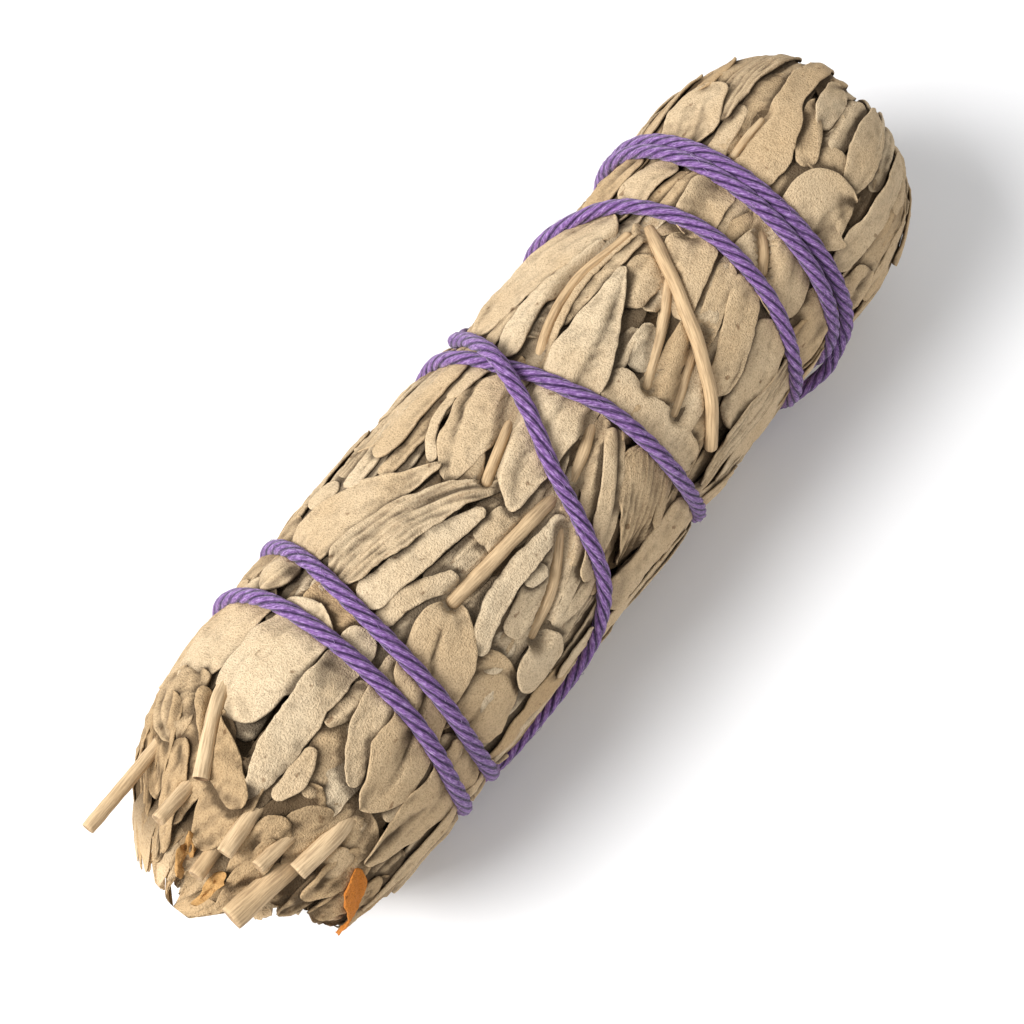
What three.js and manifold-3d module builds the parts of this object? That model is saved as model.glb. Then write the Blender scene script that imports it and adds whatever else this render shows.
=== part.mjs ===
// White sage smudge stick: dried leafy sprigs pressed into a roll and bound with cotton thread.
// Millimetres, +Z up. The roll lies along X on z = 0, cut stems towards -X, leaf tips towards +X.
import * as THREE from "three";
import { mergeVertices } from "three/addons/utils/BufferGeometryUtils.js";
import Module from "manifold-3d";

const wasm = await Module();
wasm.setup();

// Driving dimensions
const BODY_RADIUS = 16; // where arc lengths round the roll are measured
const CORE_RADIUS = 14.4; // pressed inner foliage, which the leaves stand out of
const AXIS_HEIGHT = 15.6; // the roll has settled on a flat 0.4 mm deep
const CENTRE_X = -2.1; // middle of the roll's length, moved to the origin
const NEAR_FACE = -52; // plane where the inner foliage is cut off
const TAPER_START = -42; // the near end narrows from here
const DOME_START = 41; // the leaf tips close in from here
const DOME_ARC = 19; // length of the rounding along the surface
const DOME_LENGTH = 12.6; // length of the rounding along X
const DOME_DROP = 9.2; // how far the rounding comes in
const LEAF_TOPS = [0.6, 0.9, 1.2, 1.5, 1.8]; // top of a leaf above the core, by layer
const LEAF_CROWN = 0.3; // the edges of a leaf lie this far below its middle
const LEAF_ROOT = 0.9; // depth of the root of a leaf in the core
const WIDE_LEAF = 4; // leaves wider than this have a crown
const THREAD_RADIUS = 0.8;
const THREAD_ROUTE_RADIUS = 16.1; // from the roll's axis to the thread's middle
const GAP = 0.3; // between pieces that touch
const FLOOR_GAP = 0.3; // the thread stays this far above the surface

const TURN = 2 * Math.PI * BODY_RADIUS;

// The surface of the pressed foliage at arc length s along the roll and v round it.
// v = 0 is the top and v grows towards -Y. Returns x, the radius and the outward normal.
function coreSurface(s, v) {
  if (s > DOME_START) {
    const a = (Math.min(s - DOME_START, DOME_ARC) / DOME_ARC) * (Math.PI / 2);
    const nx = DOME_DROP * Math.sin(a);
    const nr = DOME_LENGTH * Math.cos(a);
    const n = Math.hypot(nx, nr);
    return {
      x: DOME_START + DOME_LENGTH * Math.sin(a),
      r: CORE_RADIUS - DOME_DROP * (1 - Math.cos(a)),
      nx: nx / n,
      nr: nr / n,
    };
  }
  const t = Math.max(0, (TAPER_START - s) / 10);
  const leftness = 0.5 + 0.5 * Math.cos(v / BODY_RADIUS + Math.PI / 4);
  return { x: s, r: CORE_RADIUS - t * t * (1.2 + 2.4 * leftness), nx: 0, nr: 1 };
}

// A point h above the pressed foliage.
function onRoll(s, v, h = 0) {
  const c = coreSurface(s, v);
  const a = v / BODY_RADIUS;
  const r = c.r + c.nr * h;
  return new THREE.Vector3(
    c.x + c.nx * h - CENTRE_X,
    -r * Math.sin(a),
    AXIS_HEIGHT + r * Math.cos(a),
  );
}

// A point at radius r from the roll's axis.
function round(x, v, r) {
  const a = v / BODY_RADIUS;
  return new THREE.Vector3(x - CENTRE_X, -r * Math.sin(a), AXIS_HEIGHT + r * Math.cos(a));
}

// Solids

function solidOf(geometry) {
  const bare = geometry.clone();
  bare.deleteAttribute("normal");
  bare.deleteAttribute("uv");
  const merged = mergeVertices(bare, 1e-4);
  const triVerts = new Uint32Array(merged.index.array);
  const make = () =>
    new wasm.Manifold(
      new wasm.Mesh({
        numProp: 3,
        vertProperties: merged.attributes.position.array,
        triVerts,
      }),
    );
  const made = make();
  if (made.volume() > 0) return made;
  for (let i = 0; i < triVerts.length; i += 3)
    [triVerts[i + 1], triVerts[i + 2]] = [triVerts[i + 2], triVerts[i + 1]];
  return make();
}

// A closed skin through rings of equal count, with a fan over each end. Sides in mirrored are
// split along their other diagonal.
function loft(rings, mirrored = []) {
  const n = rings[0].length;
  const positions = rings.flat().flatMap((p) => [p.x, p.y, p.z]);
  const index = [];
  for (let i = 0; i + 1 < rings.length; i++)
    for (let j = 0; j < n; j++) {
      const a = i * n + j;
      const b = i * n + ((j + 1) % n);
      if (mirrored.includes(j)) index.push(a, b, a + n, b, b + n, a + n);
      else index.push(a, b, b + n, a, b + n, a + n);
    }
  const last = (rings.length - 1) * n;
  for (let j = 1; j + 1 < n; j++) {
    index.push(0, j + 1, j);
    index.push(last, last + j, last + j + 1);
  }
  const g = new THREE.BufferGeometry();
  g.setAttribute("position", new THREE.Float32BufferAttribute(positions, 3));
  g.setIndex(index);
  return solidOf(g);
}

function polygon(sides, radius) {
  const shape = new THREE.Shape();
  for (let i = 0; i < sides; i++) {
    const a = (2 * Math.PI * i) / sides;
    shape[i ? "lineTo" : "moveTo"](radius * Math.cos(a), radius * Math.sin(a));
  }
  shape.closePath();
  return shape;
}

// A round bar along a smooth curve through the points.
function tube(points, radius, sides, steps) {
  return solidOf(
    new THREE.ExtrudeGeometry(polygon(sides, radius), {
      steps,
      bevelEnabled: false,
      extrudePath: new THREE.CatmullRomCurve3(points),
    }),
  );
}

// The middles of that bar's rings.
function tubeMiddles(points, steps) {
  return new THREE.CatmullRomCurve3(points).getSpacedPoints(steps);
}

function boxBetween(low, high) {
  const g = new THREE.BoxGeometry(high.x - low.x, high.y - low.y, high.z - low.z);
  const middle = low.clone().add(high).multiplyScalar(0.5);
  g.translate(middle.x, middle.y, middle.z);
  return solidOf(g);
}

const aboveSurface = boxBetween(new THREE.Vector3(-90, -30, 0), new THREE.Vector3(90, 30, 60));

// Pressed inner foliage: a roll with a tapered near end and a rounded far end

function coreSolid() {
  const stations = [NEAR_FACE, -47, TAPER_START, DOME_START, 47, 53, 60];
  const facets = 20;
  return loft(
    stations.map((s) =>
      Array.from({ length: facets }, (_, j) => onRoll(s, (TURN * j) / facets)),
    ),
  );
}

// Seams between the sprigs, which follow the edges of leaves. Points are s and v.

const SEAMS = [
  [[-60, -21], [60, -21]],
  [[-60, -9], [-18, -6.9], [-11.5, -4.4], [-5, -8.4], [8, -9.8], [20, -7.4], [60, -6.4]],
  [[-60, 3.8], [-32, 4], [-19, 4.9], [0, 4.8], [9, 2.4], [17, 5.5], [38.5, 3.8], [46, 0.8], [60, 0.4]],
  [[-60, 12.8], [-34, 15], [-25, 11], [-17, 14.4], [-6, 18], [2, 10.5], [18, 13.4], [60, 12.4]],
  [[-60, 35], [60, 35]],
  [[-60, 65], [60, 65]],
];

// Each sprig with the arc length at the middle of its own sector.
const SPRIGS = [
  ["sprig_top_left", -15],
  ["sprig_top", -2.5],
  ["sprig_top_right", 8.5],
  ["sprig_right", 24],
  ["sprig_base", 50],
  ["sprig_left", 72],
];

// A wall half a gap to each side of a seam, from just past the axis to outside the roll.
function seamWall(points) {
  const reach = BODY_RADIUS + 4;
  const ring = (x, v) => {
    const out = round(x, v, reach);
    const back = round(x, v, -GAP);
    const a = v / BODY_RADIUS;
    const side = new THREE.Vector3(0, -Math.cos(a), -Math.sin(a)).multiplyScalar(GAP / 2);
    return [
      back.clone().sub(side),
      out.clone().sub(side),
      out.clone().add(side),
      back.clone().add(side),
    ];
  };
  const [first, ...inner] = points.slice(0, -1);
  const rings = [
    ring(-80, first[1]),
    ...inner.map(([s, v]) => ring(coreSurface(s, v).x, v)),
    ring(80, points[points.length - 1][1]),
  ];
  return loft(rings, [2]);
}

// Leaves. Each is a layer, then its stations from root to tip or end to end: s, v and width.

const COLLAR_LEAVES = [
  [3, [-43, -11.7, 1.8], [-40, -12.1, 6.6], [-35, -12.4, 7.2], [-29.5, -12.2, 6.2]],
  [3, [-42.6, -1.8, 2.6], [-40, -3.9, 7], [-34, -4.7, 8], [-29.2, -4.4, 6.5]],
  [4, [-48, 2.5, 0.8], [-45, 2.2, 3.2], [-39, 1.6, 3.8], [-28.5, 1.3, 4]],
  [1, [-44.5, 6.8, 1], [-42, 6.5, 3.2], [-39.5, 6, 4.4], [-36, 5.6, 2]],
  [3, [-41, 9.6, 1.2], [-38, 7.8, 2.7], [-33, 6.3, 3.2], [-28, 5.4, 2.6]],
  [4, [-42, 11.7, 1.6], [-38, 12, 6], [-31, 10.3, 6.2], [-24, 7, 6.8], [-20.4, 5.7, 1]],
  [2, [-30, 15.5, 7], [-24.3, 16, 9.5], [-22, 17.2, 5]],
  [2, [-41, 14.4, 1], [-38, 15.5, 2.6], [-30, 15.8, 3]],
  [3, [-45.3, 17, 1], [-41, 17.4, 4.5], [-35, 19, 7], [-29, 19.5, 8]],
  [1, [-46.5, 16, 2], [-44.5, 14.7, 2.6], [-41.5, 13.7, 1.6]],
  [3, [-31, -12, 5], [-25.5, -12, 5]],
  [1, [-31, -3, 7], [-25, -3, 7]],
  [2, [-44, -18, 2], [-39, -18, 6], [-30, -17.5, 5]],
];

const NEAR_END_LEAVES = [
  [2, [-54, 1.4, 4.6], [-50, 1, 5.4], [-45, 0.5, 4]],
  [3, [-56, -4, 2.6], [-52, -6, 3.6], [-47, -7, 3.4]],
  [2, [-52.6, -9, 4], [-48, -11, 5], [-44, -12, 4]],
  [3, [-47.6, -8, 5], [-44, -11.5, 7], [-41, -13.5, 5]],
  [4, [-42.3, -8.6, 2.4], [-46, -3, 3.4], [-49, 2.8, 2.6]],
  [1, [-55.4, 7.6, 1.6], [-52, 7, 2.8], [-47, 7, 3]],
  [2, [-57.4, 10, 1], [-54, 8.4, 2.4], [-49, 8, 2.6]],
  [2, [-52, 15, 2.6], [-48, 15.6, 4], [-44, 16.6, 4]],
  [2, [-48.6, 20, 2.2], [-46.4, 23, 4.2], [-45, 27, 3]],
  [1, [-51, -17, 3], [-46, -18, 5], [-42, -19, 4]],
  [2, [-53, 20.5, 2], [-50, 20, 4], [-46, 20, 4]],
];

const FOLDED_LEAVES = [
  [3, [-26, -11.8, 8], [-20, -9.9, 6.2], [-13.5, -5.7, 2.4], [-10.8, -4.2, 0.8]],
  [4, [-26.5, -5, 4.6], [-21, -4.3, 5.2], [-12.5, -0.7, 3], [-8.2, 2.4, 0.9]],
  [3, [-27, -1.2, 3.2], [-17, 0.8, 2.5], [-12, 2.2, 1]],
  [3, [-23.5, 10.8, 2], [-19, 9.1, 2.2], [-7, 8.9, 1.8]],
  [2, [-19.7, 12.7, 2.4], [-13.2, 10.9, 2.6]],
  [2, [-15.5, 15, 2.2], [-11, 13.9, 2.2], [-6.5, 11.8, 1.6]],
  [4, [-22.5, 17.5, 4], [-19, 17.3, 4.8], [-15.5, 17, 3.6]],
  [1, [-18.5, 20, 4.6], [-9, 19, 4]],
  [3, [-18, 22, 2], [-11.5, 22, 2.4]],
  [2, [-21, -14.5, 3], [-17, -14.5, 3]],
  [2, [-17.5, -12, 2.4], [-12.5, -12.5, 2.4]],
  [3, [-13.3, -11.4, 2.4], [-6, -11.6, 2.6], [1, -11.7, 2.2]],
  [1, [-13, -16, 5], [1, -16, 5]],
];

const BELLY_LEAVES = [
  [2, [-12, -2.6, 0.8], [-8.5, -3.8, 4.5], [-3, -5.3, 5.4], [1, -6.3, 4.6]],
  [4, [-10.6, 4.4, 0.8], [-7, 2.6, 5], [0, 1.2, 7], [8, -0.5, 6.2], [18.3, -3.3, 0.8]],
  [3, [3, -7.3, 3], [8, -8.7, 2.6], [20, -7.2, 1]],
  [4, [4.5, -13.5, 3], [10, -14, 7], [16, -12.7, 7.5], [24, -9.5, 7]],
  [0, [14.5, -0.8, 3], [21.3, -1.2, 3.5]],
  [3, [7.2, 2.8, 3.6], [6.6, 8, 4.6], [7, 13, 4.6], [7.6, 17, 3]],
  [2, [-5.5, 18.7, 1], [0, 15.5, 6.6], [5, 11, 7]],
  [2, [-10, 13, 1.4], [-3, 9.4, 2], [3.5, 5.5, 1.6]],
  [3, [-10, 15.5, 2.4], [-4, 12.4, 2.6], [3.3, 6.9, 2.2]],
  [2, [-9, 21.5, 3.6], [5.5, 21, 4]],
  [1, [4, -18.5, 4], [20, -17.5, 5]],
];

const SHOULDER_LEAVES = [
  [3, [17, 5.4, 1], [21, 2.5, 4.2], [26, 0.3, 6]],
  [2, [15.5, 8.6, 1.8], [25.5, 5.1, 2.2]],
  [3, [14, 13.3, 2.6], [19, 11.2, 3.6], [26, 7.3, 3.4]],
  [2, [13.5, 18, 4.6], [18, 16.3, 5.6], [25, 13.1, 5]],
  [3, [7.5, 20.5, 1], [14, 19.7, 3.4], [25, 19.7, 3]],
  [3, [25, -8.9, 4.2], [33, -8.4, 4.2]],
  [2, [24, -14, 4], [33, -14, 4]],
  [3, [25.5, -5, 2.8], [32.5, -4.2, 3]],
  [3, [25, -0.4, 4.6], [33, -1.3, 4.6]],
  [1, [25, 3.8, 3], [33, 2.8, 3]],
  [3, [25, 12.6, 6.6], [33, 9.8, 7]],
  [2, [24, 18.6, 5.6], [33, 17.5, 6]],
];

const TIP_LEAVES = [
  [3, [34.5, -8.5, 6.4], [39, -9.8, 7.2], [43.4, -12, 6]],
  [2, [42, -13, 4.4], [45.5, -13.4, 4.4], [49, -14, 2]],
  [2, [34, -17, 5], [40, -17.4, 5], [47, -18, 3.6]],
  [2, [39, -6, 1.5], [44, -7.5, 3], [49, -8, 3.6], [54.5, -8.4, 3]],
  [4, [34, 1.1, 5], [40, 0.3, 5], [45, -1.3, 3], [50.5, -2.2, 3.6], [56, -3.2, 3]],
  [3, [46.6, 0.8, 1.2], [43, 2.6, 2.6], [39.5, 4.8, 1.8]],
  [2, [40, 4.6, 1.6], [42, 6.5, 3], [41.2, 10, 1]],
  [4, [33.5, 10.2, 7.6], [37.5, 9.2, 9.4], [40.4, 11.3, 2.6]],
  [3, [44, 3.4, 1.4], [47, 2.6, 3], [51, 1.8, 3.2]],
  [1, [43, 6, 1.5], [47, 5.5, 2.8], [51.5, 5.2, 2.6]],
  [3, [41, 10, 2], [45, 9.2, 4.4], [52.4, 7.6, 2]],
  [2, [43.5, 12.2, 1.8], [49, 11.2, 3], [56, 10.4, 3]],
  [3, [35, 15.2, 3.4], [42, 15, 3.2], [51, 14.4, 2.6]],
  [3, [33.5, 19.8, 4.6], [39.4, 19.8, 4]],
  [1, [40, 17.6, 1.6], [43.5, 17.9, 2.8], [47.8, 18.8, 1.6]],
  [2, [38, 23.6, 3], [44, 22.8, 4.4], [51, 21.6, 3]],
];

// Leaves on the far side and underneath, laid in staggered columns by a rule.
function ruleLeaves() {
  const under = TURN / 2;
  const columns = [26, 38, under, 63, 74.5];
  let seed = 24571;
  const draw = (low, high) => {
    seed = (seed * 16807) % 2147483647;
    return low + ((high - low) * seed) / 2147483647;
  };
  const leaves = [];
  columns.forEach((column, i) => {
    let s = -49 + draw(0, 4) + (i % 2) * 5;
    while (s < 48) {
      const length = draw(20, 27);
      const width = draw(9, 11);
      const lean = draw(-1.2, 1.2);
      const layer = column === under ? 4 : 1 + Math.floor(draw(0, 3.99));
      leaves.push([
        layer,
        [s, column - lean, width * 0.6],
        [s + length * 0.55, column, width],
        [Math.min(s + length, 57), column + lean, column === under ? 4 : 1],
      ]);
      s += length * draw(0.8, 0.92);
    }
  });
  return leaves;
}

// Short inner leaves round the hidden part of the near end.
function innerLeaves() {
  const count = 6;
  return Array.from({ length: count }, (_, i) => {
    const v = 30 + (48 * i) / (count - 1);
    const past = (i * 3) % 4;
    return [i % 3, [-44, v, 6], [-52 - past, v - 0.8, 4]];
  });
}

// Tips that close the far end, folded towards the axis.
function closingTips() {
  const count = 7;
  return Array.from({ length: count }, (_, i) => {
    const v = -46 + (TURN * i) / count;
    return [i % 2, [50, v, 6], [59.6, v + 1, 5]];
  });
}

// One leaf as a solid: a strip whose root lies in the core, crowned where it is wide.
function leafSolid([layer, ...stations], grow = 0) {
  const top = LEAF_TOPS[layer] + grow;
  const crowned = Math.max(...stations.map((station) => station[2])) > WIDE_LEAF;
  const edge = crowned ? top - LEAF_CROWN : top - LEAF_CROWN / 2;
  const root = -LEAF_ROOT - grow;
  const end = stations.length - 1;
  const rings = stations.map(([s, v, width], i) => {
    const [s0, v0] = stations[Math.max(i - 1, 0)];
    const [s1, v1] = stations[Math.min(i + 1, end)];
    const length = Math.hypot(s1 - s0, v1 - v0);
    const alongS = (s1 - s0) / length;
    const alongV = (v1 - v0) / length;
    const half = width / 2 + grow;
    const longer = (i === end ? grow : 0) - (i === 0 ? grow : 0);
    const at = (side, h) =>
      onRoll(
        s + alongS * longer - alongV * half * side,
        v + alongV * longer + alongS * half * side,
        h,
      );
    const middle = crowned ? [at(0, top)] : [];
    return [at(-1, edge), ...middle, at(1, edge), at(0.85, root), at(-0.85, root)];
  });
  return loft(rings);
}

// Binding thread: points are v round the roll, x along it and how far it is lifted.
// It climbs in open turns, doubles at the shoulder and comes back down across itself.

const TURNS_OF_THREAD = [
  // first turn, from the knot behind
  [
    [-34, -33.4, 0.2], [-27, -33.6, 0], [-20.5, -33.2, 0], [-15, -32.3, 0], [-10, -31.7, 0],
    [0, -31.6, 0], [10, -32.3, 0], [20, -33.6, 0], [30, -33, 0], [38, -31.5, -0.4],
    [46, -30, 0], [54, -28.8, 0], [62, -27.8, 0], [70, -26.8, 0],
  ],
  [
    [-20, -25.8, 0], [-15, -25.8, 0], [-10, -26.2, 0], [0, -27.8, 0], [10, -28.9, 0],
    [20, -29.6, 0], [28, -28.6, 0], [34.5, -26, -0.4], [42, -21, 0], [50, -15.5, 0],
    [58, -10, 0], [70, -3.2, 0],
  ],
  [
    [-20, 0.7, 0], [-15, 1, 0], [-11, 1.4, -0.2], [-7, 1.9, -0.45], [-3, 2.6, -0.3],
    [0, 3, 0], [5, 4.2, 0], [10, 4.7, 0], [20, 5.8, 0], [30, 8, 0], [42, 11, 0], [50, 13, 0],
    [58, 15, 0], [66, 17.2, -0.4], [73, 18.6, 0],
  ],
  [
    [-20, 19.8, 0], [-16, 21, 0], [-10, 24.2, 0], [-5, 25.6, 0], [0, 26.4, 0], [10, 26, 0],
    [20, 24.8, 0], [30, 25.5, 0], [36, 27.4, -0.4], [42, 28.8, 0], [50, 30, 0],
    [60, 31.2, 0], [70, 32.1, 0],
  ],
  [
    [-20, 32.6, 0], [-8, 32.6, 0], [5, 32.2, 0], [20, 31.8, 0], [30.8, 31.8, -0.4],
    [40, 32.4, 0], [50, 33.2, 0], [60, 34.2, 0], [70, 34.8, 0],
  ],
  [
    [-20, 34.8, 0], [-8, 34.8, 0], [5, 34.4, 0], [16, 34.3, 0], [24, 34, 0.4],
    [30.8, 31.8, 1.4], [36, 27.4, 1.4], [41, 23.8, 0.1], [50, 20.8, 0], [59, 19.4, 0.2],
    [66, 17.2, 1.4], [72.5, 11.4, 0.2],
  ],
  [
    [-20, 4.8, 0], [-15, 3.9, 0], [-12, 3.1, 0.5], [-7, 1.7, 1.4], [-2, -0.5, 0.5],
    [5, -4.5, 0], [10, -6.2, 0], [20, -9.3, 0], [26, -13.5, 0.1], [31, -20, 0.6],
    [34.5, -26, 1.4], [38, -31.5, 1.4], [43, -34.4, 0.1], [51, -35.6, 0], [59, -35, 0],
    [65, -33.6, 0.2],
  ],
];

function threadPoint([v, x, lift]) {
  const p = round(x, v, THREAD_ROUTE_RADIUS + lift);
  p.z = Math.max(p.z, THREAD_RADIUS + FLOOR_GAP);
  return p;
}

// Angle keeps growing from turn to turn, so points between two are taken round the roll.
function threadPath() {
  const rows = TURNS_OF_THREAD.flatMap((turn, i) => turn.map(([v, x, l]) => [v + i * TURN, x, l]));
  const along = new THREE.CatmullRomCurve3(
    rows.map(([v, x, l]) => new THREE.Vector3(v, x, l)),
    false,
    "centripetal",
  );
  const perTurn = 15;
  const steps = perTurn * TURNS_OF_THREAD.length;
  const first = rows[0][0];
  const last = rows[rows.length - 1][0];
  const points = [];
  const dense = along.getPoints(steps * 12);
  let k = 0;
  for (let i = 0; i <= steps; i++) {
    const v = first + ((last - first) * i) / steps;
    while (k + 1 < dense.length - 1 && dense[k + 1].x < v) k++;
    const t = THREE.MathUtils.clamp((v - dense[k].x) / (dense[k + 1].x - dense[k].x), 0, 1);
    const p = dense[k].clone().lerp(dense[k + 1], t);
    points.push(threadPoint([p.x, p.y, p.z]));
  }
  return points;
}

const threadPoints = threadPath();

// A tube that keeps every point of a path as a ring.
function tubeThrough(points, radius, sides) {
  return tube(points, radius, sides, points.length - 1);
}

// The knot behind, with the two cut ends of the thread. Tail points are v, x and lift.
const KNOT_RADIUS = 1.9;
const KNOT_TAILS = [
  [[-34.8, -33.6, 0.8], [-31.6, -31, 0.3], [-29.4, -30.4, 0.1]],
  [[-34.8, -33.4, 0.8], [-35.8, -36.6, 0.3], [-35, -39, 0.1]],
];

function knotBall(radius) {
  const middle = round(-33.5, -34.8, THREAD_ROUTE_RADIUS + 0.7);
  const ball = new THREE.SphereGeometry(radius, 8, 5);
  ball.translate(middle.x, middle.y, middle.z);
  return solidOf(ball);
}

function threadSolid() {
  const whole = tubeThrough(threadPoints, THREAD_RADIUS, 8).add(knotBall(KNOT_RADIUS));
  return KNOT_TAILS.reduce(
    (made, tail) => made.add(tubeThrough(tail.map(threadPoint), THREAD_RADIUS, 8)),
    whole,
  );
}

// A groove along a path, with two walls that meet under it at a right angle.
function groove(points, clearance) {
  const depth = clearance * Math.SQRT2;
  const reach = clearance * 2;
  const last = points.length - 1;
  return loft(
    points.map((middle, i) => {
      const along = points[Math.min(i + 1, last)]
        .clone()
        .sub(points[Math.max(i - 1, 0)])
        .normalize();
      const past = (i === last ? GAP : 0) - (i === 0 ? GAP : 0);
      const p = middle.clone().addScaledVector(along, past);
      const out = new THREE.Vector3(0, p.y, p.z - AXIS_HEIGHT).normalize();
      const side = along.clone().cross(out).normalize().multiplyScalar(depth + reach);
      const top = p.clone().addScaledVector(out, reach);
      return [
        p.clone().addScaledVector(out, -depth),
        top.clone().add(side),
        top.clone().sub(side),
      ];
    }),
  );
}

// The room that the thread takes in the leaves, in short stretches so that none crosses itself.
function threadGrooves() {
  const stretch = 15;
  const grooves = [];
  const middles = tubeMiddles(threadPoints, threadPoints.length - 1);
  for (let i = 0; i + 1 < middles.length; i += stretch)
    grooves.push(groove(middles.slice(i, i + stretch + 1), THREAD_RADIUS + GAP));
  for (const tail of KNOT_TAILS)
    grooves.push(groove(tail.map(threadPoint), THREAD_RADIUS + GAP));
  grooves.push(knotBall(KNOT_RADIUS + GAP + 0.1));
  return grooves;
}

// Stems. Points are x, v and the radius of the stem's middle from the axis.

const BODY_STEMS = [
  {
    name: "stem_ridge",
    radius: 0.8,
    points: [[-21, 5.7, 14.8], [-13, 6.3, 15.4], [-8.6, 6.6, 15.1], [-5.2, 6.9, 13.9]],
  },
  {
    name: "stem_side",
    radius: 0.65,
    points: [[-17.5, 15.4, 14.6], [-12, 12.6, 15.2], [-8, 9.9, 14.4]],
  },
  {
    name: "stem_waist",
    radius: 0.6,
    points: [
      [-9.5, 0.4, 15.1], [-5, -1.2, 15.2], [-1.6, -2.6, 14], [3.6, -4.2, 14],
      [8, -5.9, 15.2], [14, -7, 15.4], [22, -6.1, 15],
    ],
  },
  {
    name: "stem_crossing",
    radius: 0.75,
    points: [[23.2, -3.2, 16.2], [19, 3.2, 16.5], [14, 12, 16.4], [10.6, 17.6, 16.2]],
  },
  {
    name: "stem_under_crossing",
    radius: 0.65,
    points: [[20, 1.4, 14.6], [15, 4.3, 14.6], [9.4, 7, 14.6]],
  },
  {
    name: "stem_low_crossing",
    radius: 0.65,
    points: [[17.5, 7.8, 14.6], [13, 9.8, 14.6], [9.6, 11.4, 14.6]],
  },
  {
    name: "stem_slant",
    radius: 0.65,
    points: [[-3.4, 7.3, 14.4], [0, 6, 15], [2.6, 5, 14.2]],
  },
  {
    name: "stem_shoulder",
    radius: 0.65,
    points: [[27.8, 8.7, 14.8], [29.5, 7.2, 15], [31, 5.8, 14.4]],
  },
  {
    name: "stem_tip",
    radius: 0.5,
    points: [[36.3, -2.3, 15.1], [39, -2.5, 15.1], [42, -2.7, 14.7]],
  },
];

// Cut stems at the near end, bedded in the foliage.
const CUT_STEMS = [
  {
    name: "stem_cut_hollow",
    radius: 0.8,
    hollow: 0.4,
    points: [[-39, -8.4, 13.4], [-49.2, -2.2, 14.6]],
  },
  { name: "stem_cut_upper", radius: 1, points: [[-42, 12, 13.2], [-49.5, 11.6, 14.4]] },
  { name: "stem_cut_thick", radius: 1.3, points: [[-47, 12.4, 10.4], [-57, 10.2, 11.6]] },
  { name: "stem_cut_dark", radius: 0.75, points: [[-45, 9.4, 11.6], [-52, 8, 14.2]] },
  { name: "stem_cut_middle", radius: 0.85, points: [[-46.5, 3.8, 12.8], [-53, 4.4, 13.4]] },
  { name: "stem_cut_low", radius: 0.8, points: [[-48, 2.4, 9.8], [-56, 3.4, 10.8]] },
  { name: "stem_cut_left", radius: 0.75, points: [[-47, -4.4, 12.2], [-54.4, -3.6, 13.8]] },
  { name: "stem_cut_right", radius: 0.9, points: [[-47, 24, 9], [-54.5, 25, 9.6]] },
  { name: "stem_cut_under", radius: 1.1, points: [[-47, 46, 8], [-55.5, 46, 8.4]] },
  { name: "stem_cut_back", radius: 0.8, points: [[-47, 72, 9.5], [-54, 71, 10]] },
  { name: "stem_stray", radius: 0.7, points: [[-42, -12.5, 13.2], [-58.9, -10.6, 13.9]] },
];

const STEM_SIDES = 6;

function stemPoints(stem) {
  return stem.points.map(([x, v, r]) => round(x, v, r));
}

function stemSteps(stem) {
  return stem.points.length === 2 ? 1 : (stem.points.length - 1) * 2;
}

function stemSolid(stem) {
  const points = stemPoints(stem);
  const solid = tube(points, stem.radius, STEM_SIDES, stemSteps(stem));
  if (!stem.hollow) return solid;
  const [inner, end] = points;
  const beyond = end.clone().add(end.clone().sub(inner).normalize());
  const bottom = end.clone().lerp(inner, 0.35);
  return solid.subtract(tube([bottom, beyond], stem.hollow, STEM_SIDES, 1));
}

// A stem on the body lies in a groove, and a cut stem in a hole of its own.
function stemRoom(stem) {
  const points = stemPoints(stem);
  if (points.length > 2)
    return groove(tubeMiddles(points, stemSteps(stem)), stem.radius + GAP);
  return tube(points, stem.radius + GAP + 0.1, STEM_SIDES, 1);
}

// The rust-coloured leaf and two curled dry scraps, as leaves with nodes of their own.

const LOOSE_LEAVES = [
  { name: "rust_leaf", leaf: [3, [-46.9, 16.2, 3], [-48.6, 20, 4], [-50.6, 24.6, 1.2]] },
  { name: "dry_curl_upper", leaf: [2, [-52.4, -0.4, 2], [-55, 0, 3], [-57.6, 1, 1.4]] },
  { name: "dry_curl_lower", leaf: [1, [-52.4, 6.4, 1.6], [-56, 6.4, 2.6], [-59, 6.8, 1.2]] },
];

// Finishes

const finish = (color, roughness) =>
  new THREE.MeshStandardMaterial({ color, roughness, metalness: 0, flatShading: true });
const sageLeaf = finish(0xc9b48e, 0.95);
const straw = finish(0xcfae74, 0.7);
const rust = finish(0xc98038, 0.85);
const goldenLeaf = finish(0xc69a55, 0.85);
const purpleCotton = finish(0x75509e, 0.9);

const bunch = new THREE.Group();

function place(name, solid, material) {
  const m = solid.getMesh();
  const g = new THREE.BufferGeometry();
  g.setAttribute("position", new THREE.BufferAttribute(new Float32Array(m.vertProperties), 3));
  g.setIndex(new THREE.BufferAttribute(new Uint32Array(m.triVerts), 1));
  g.computeVertexNormals();
  const mesh = new THREE.Mesh(g, material);
  mesh.name = name;
  bunch.add(mesh);
}

// Assembly

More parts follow.
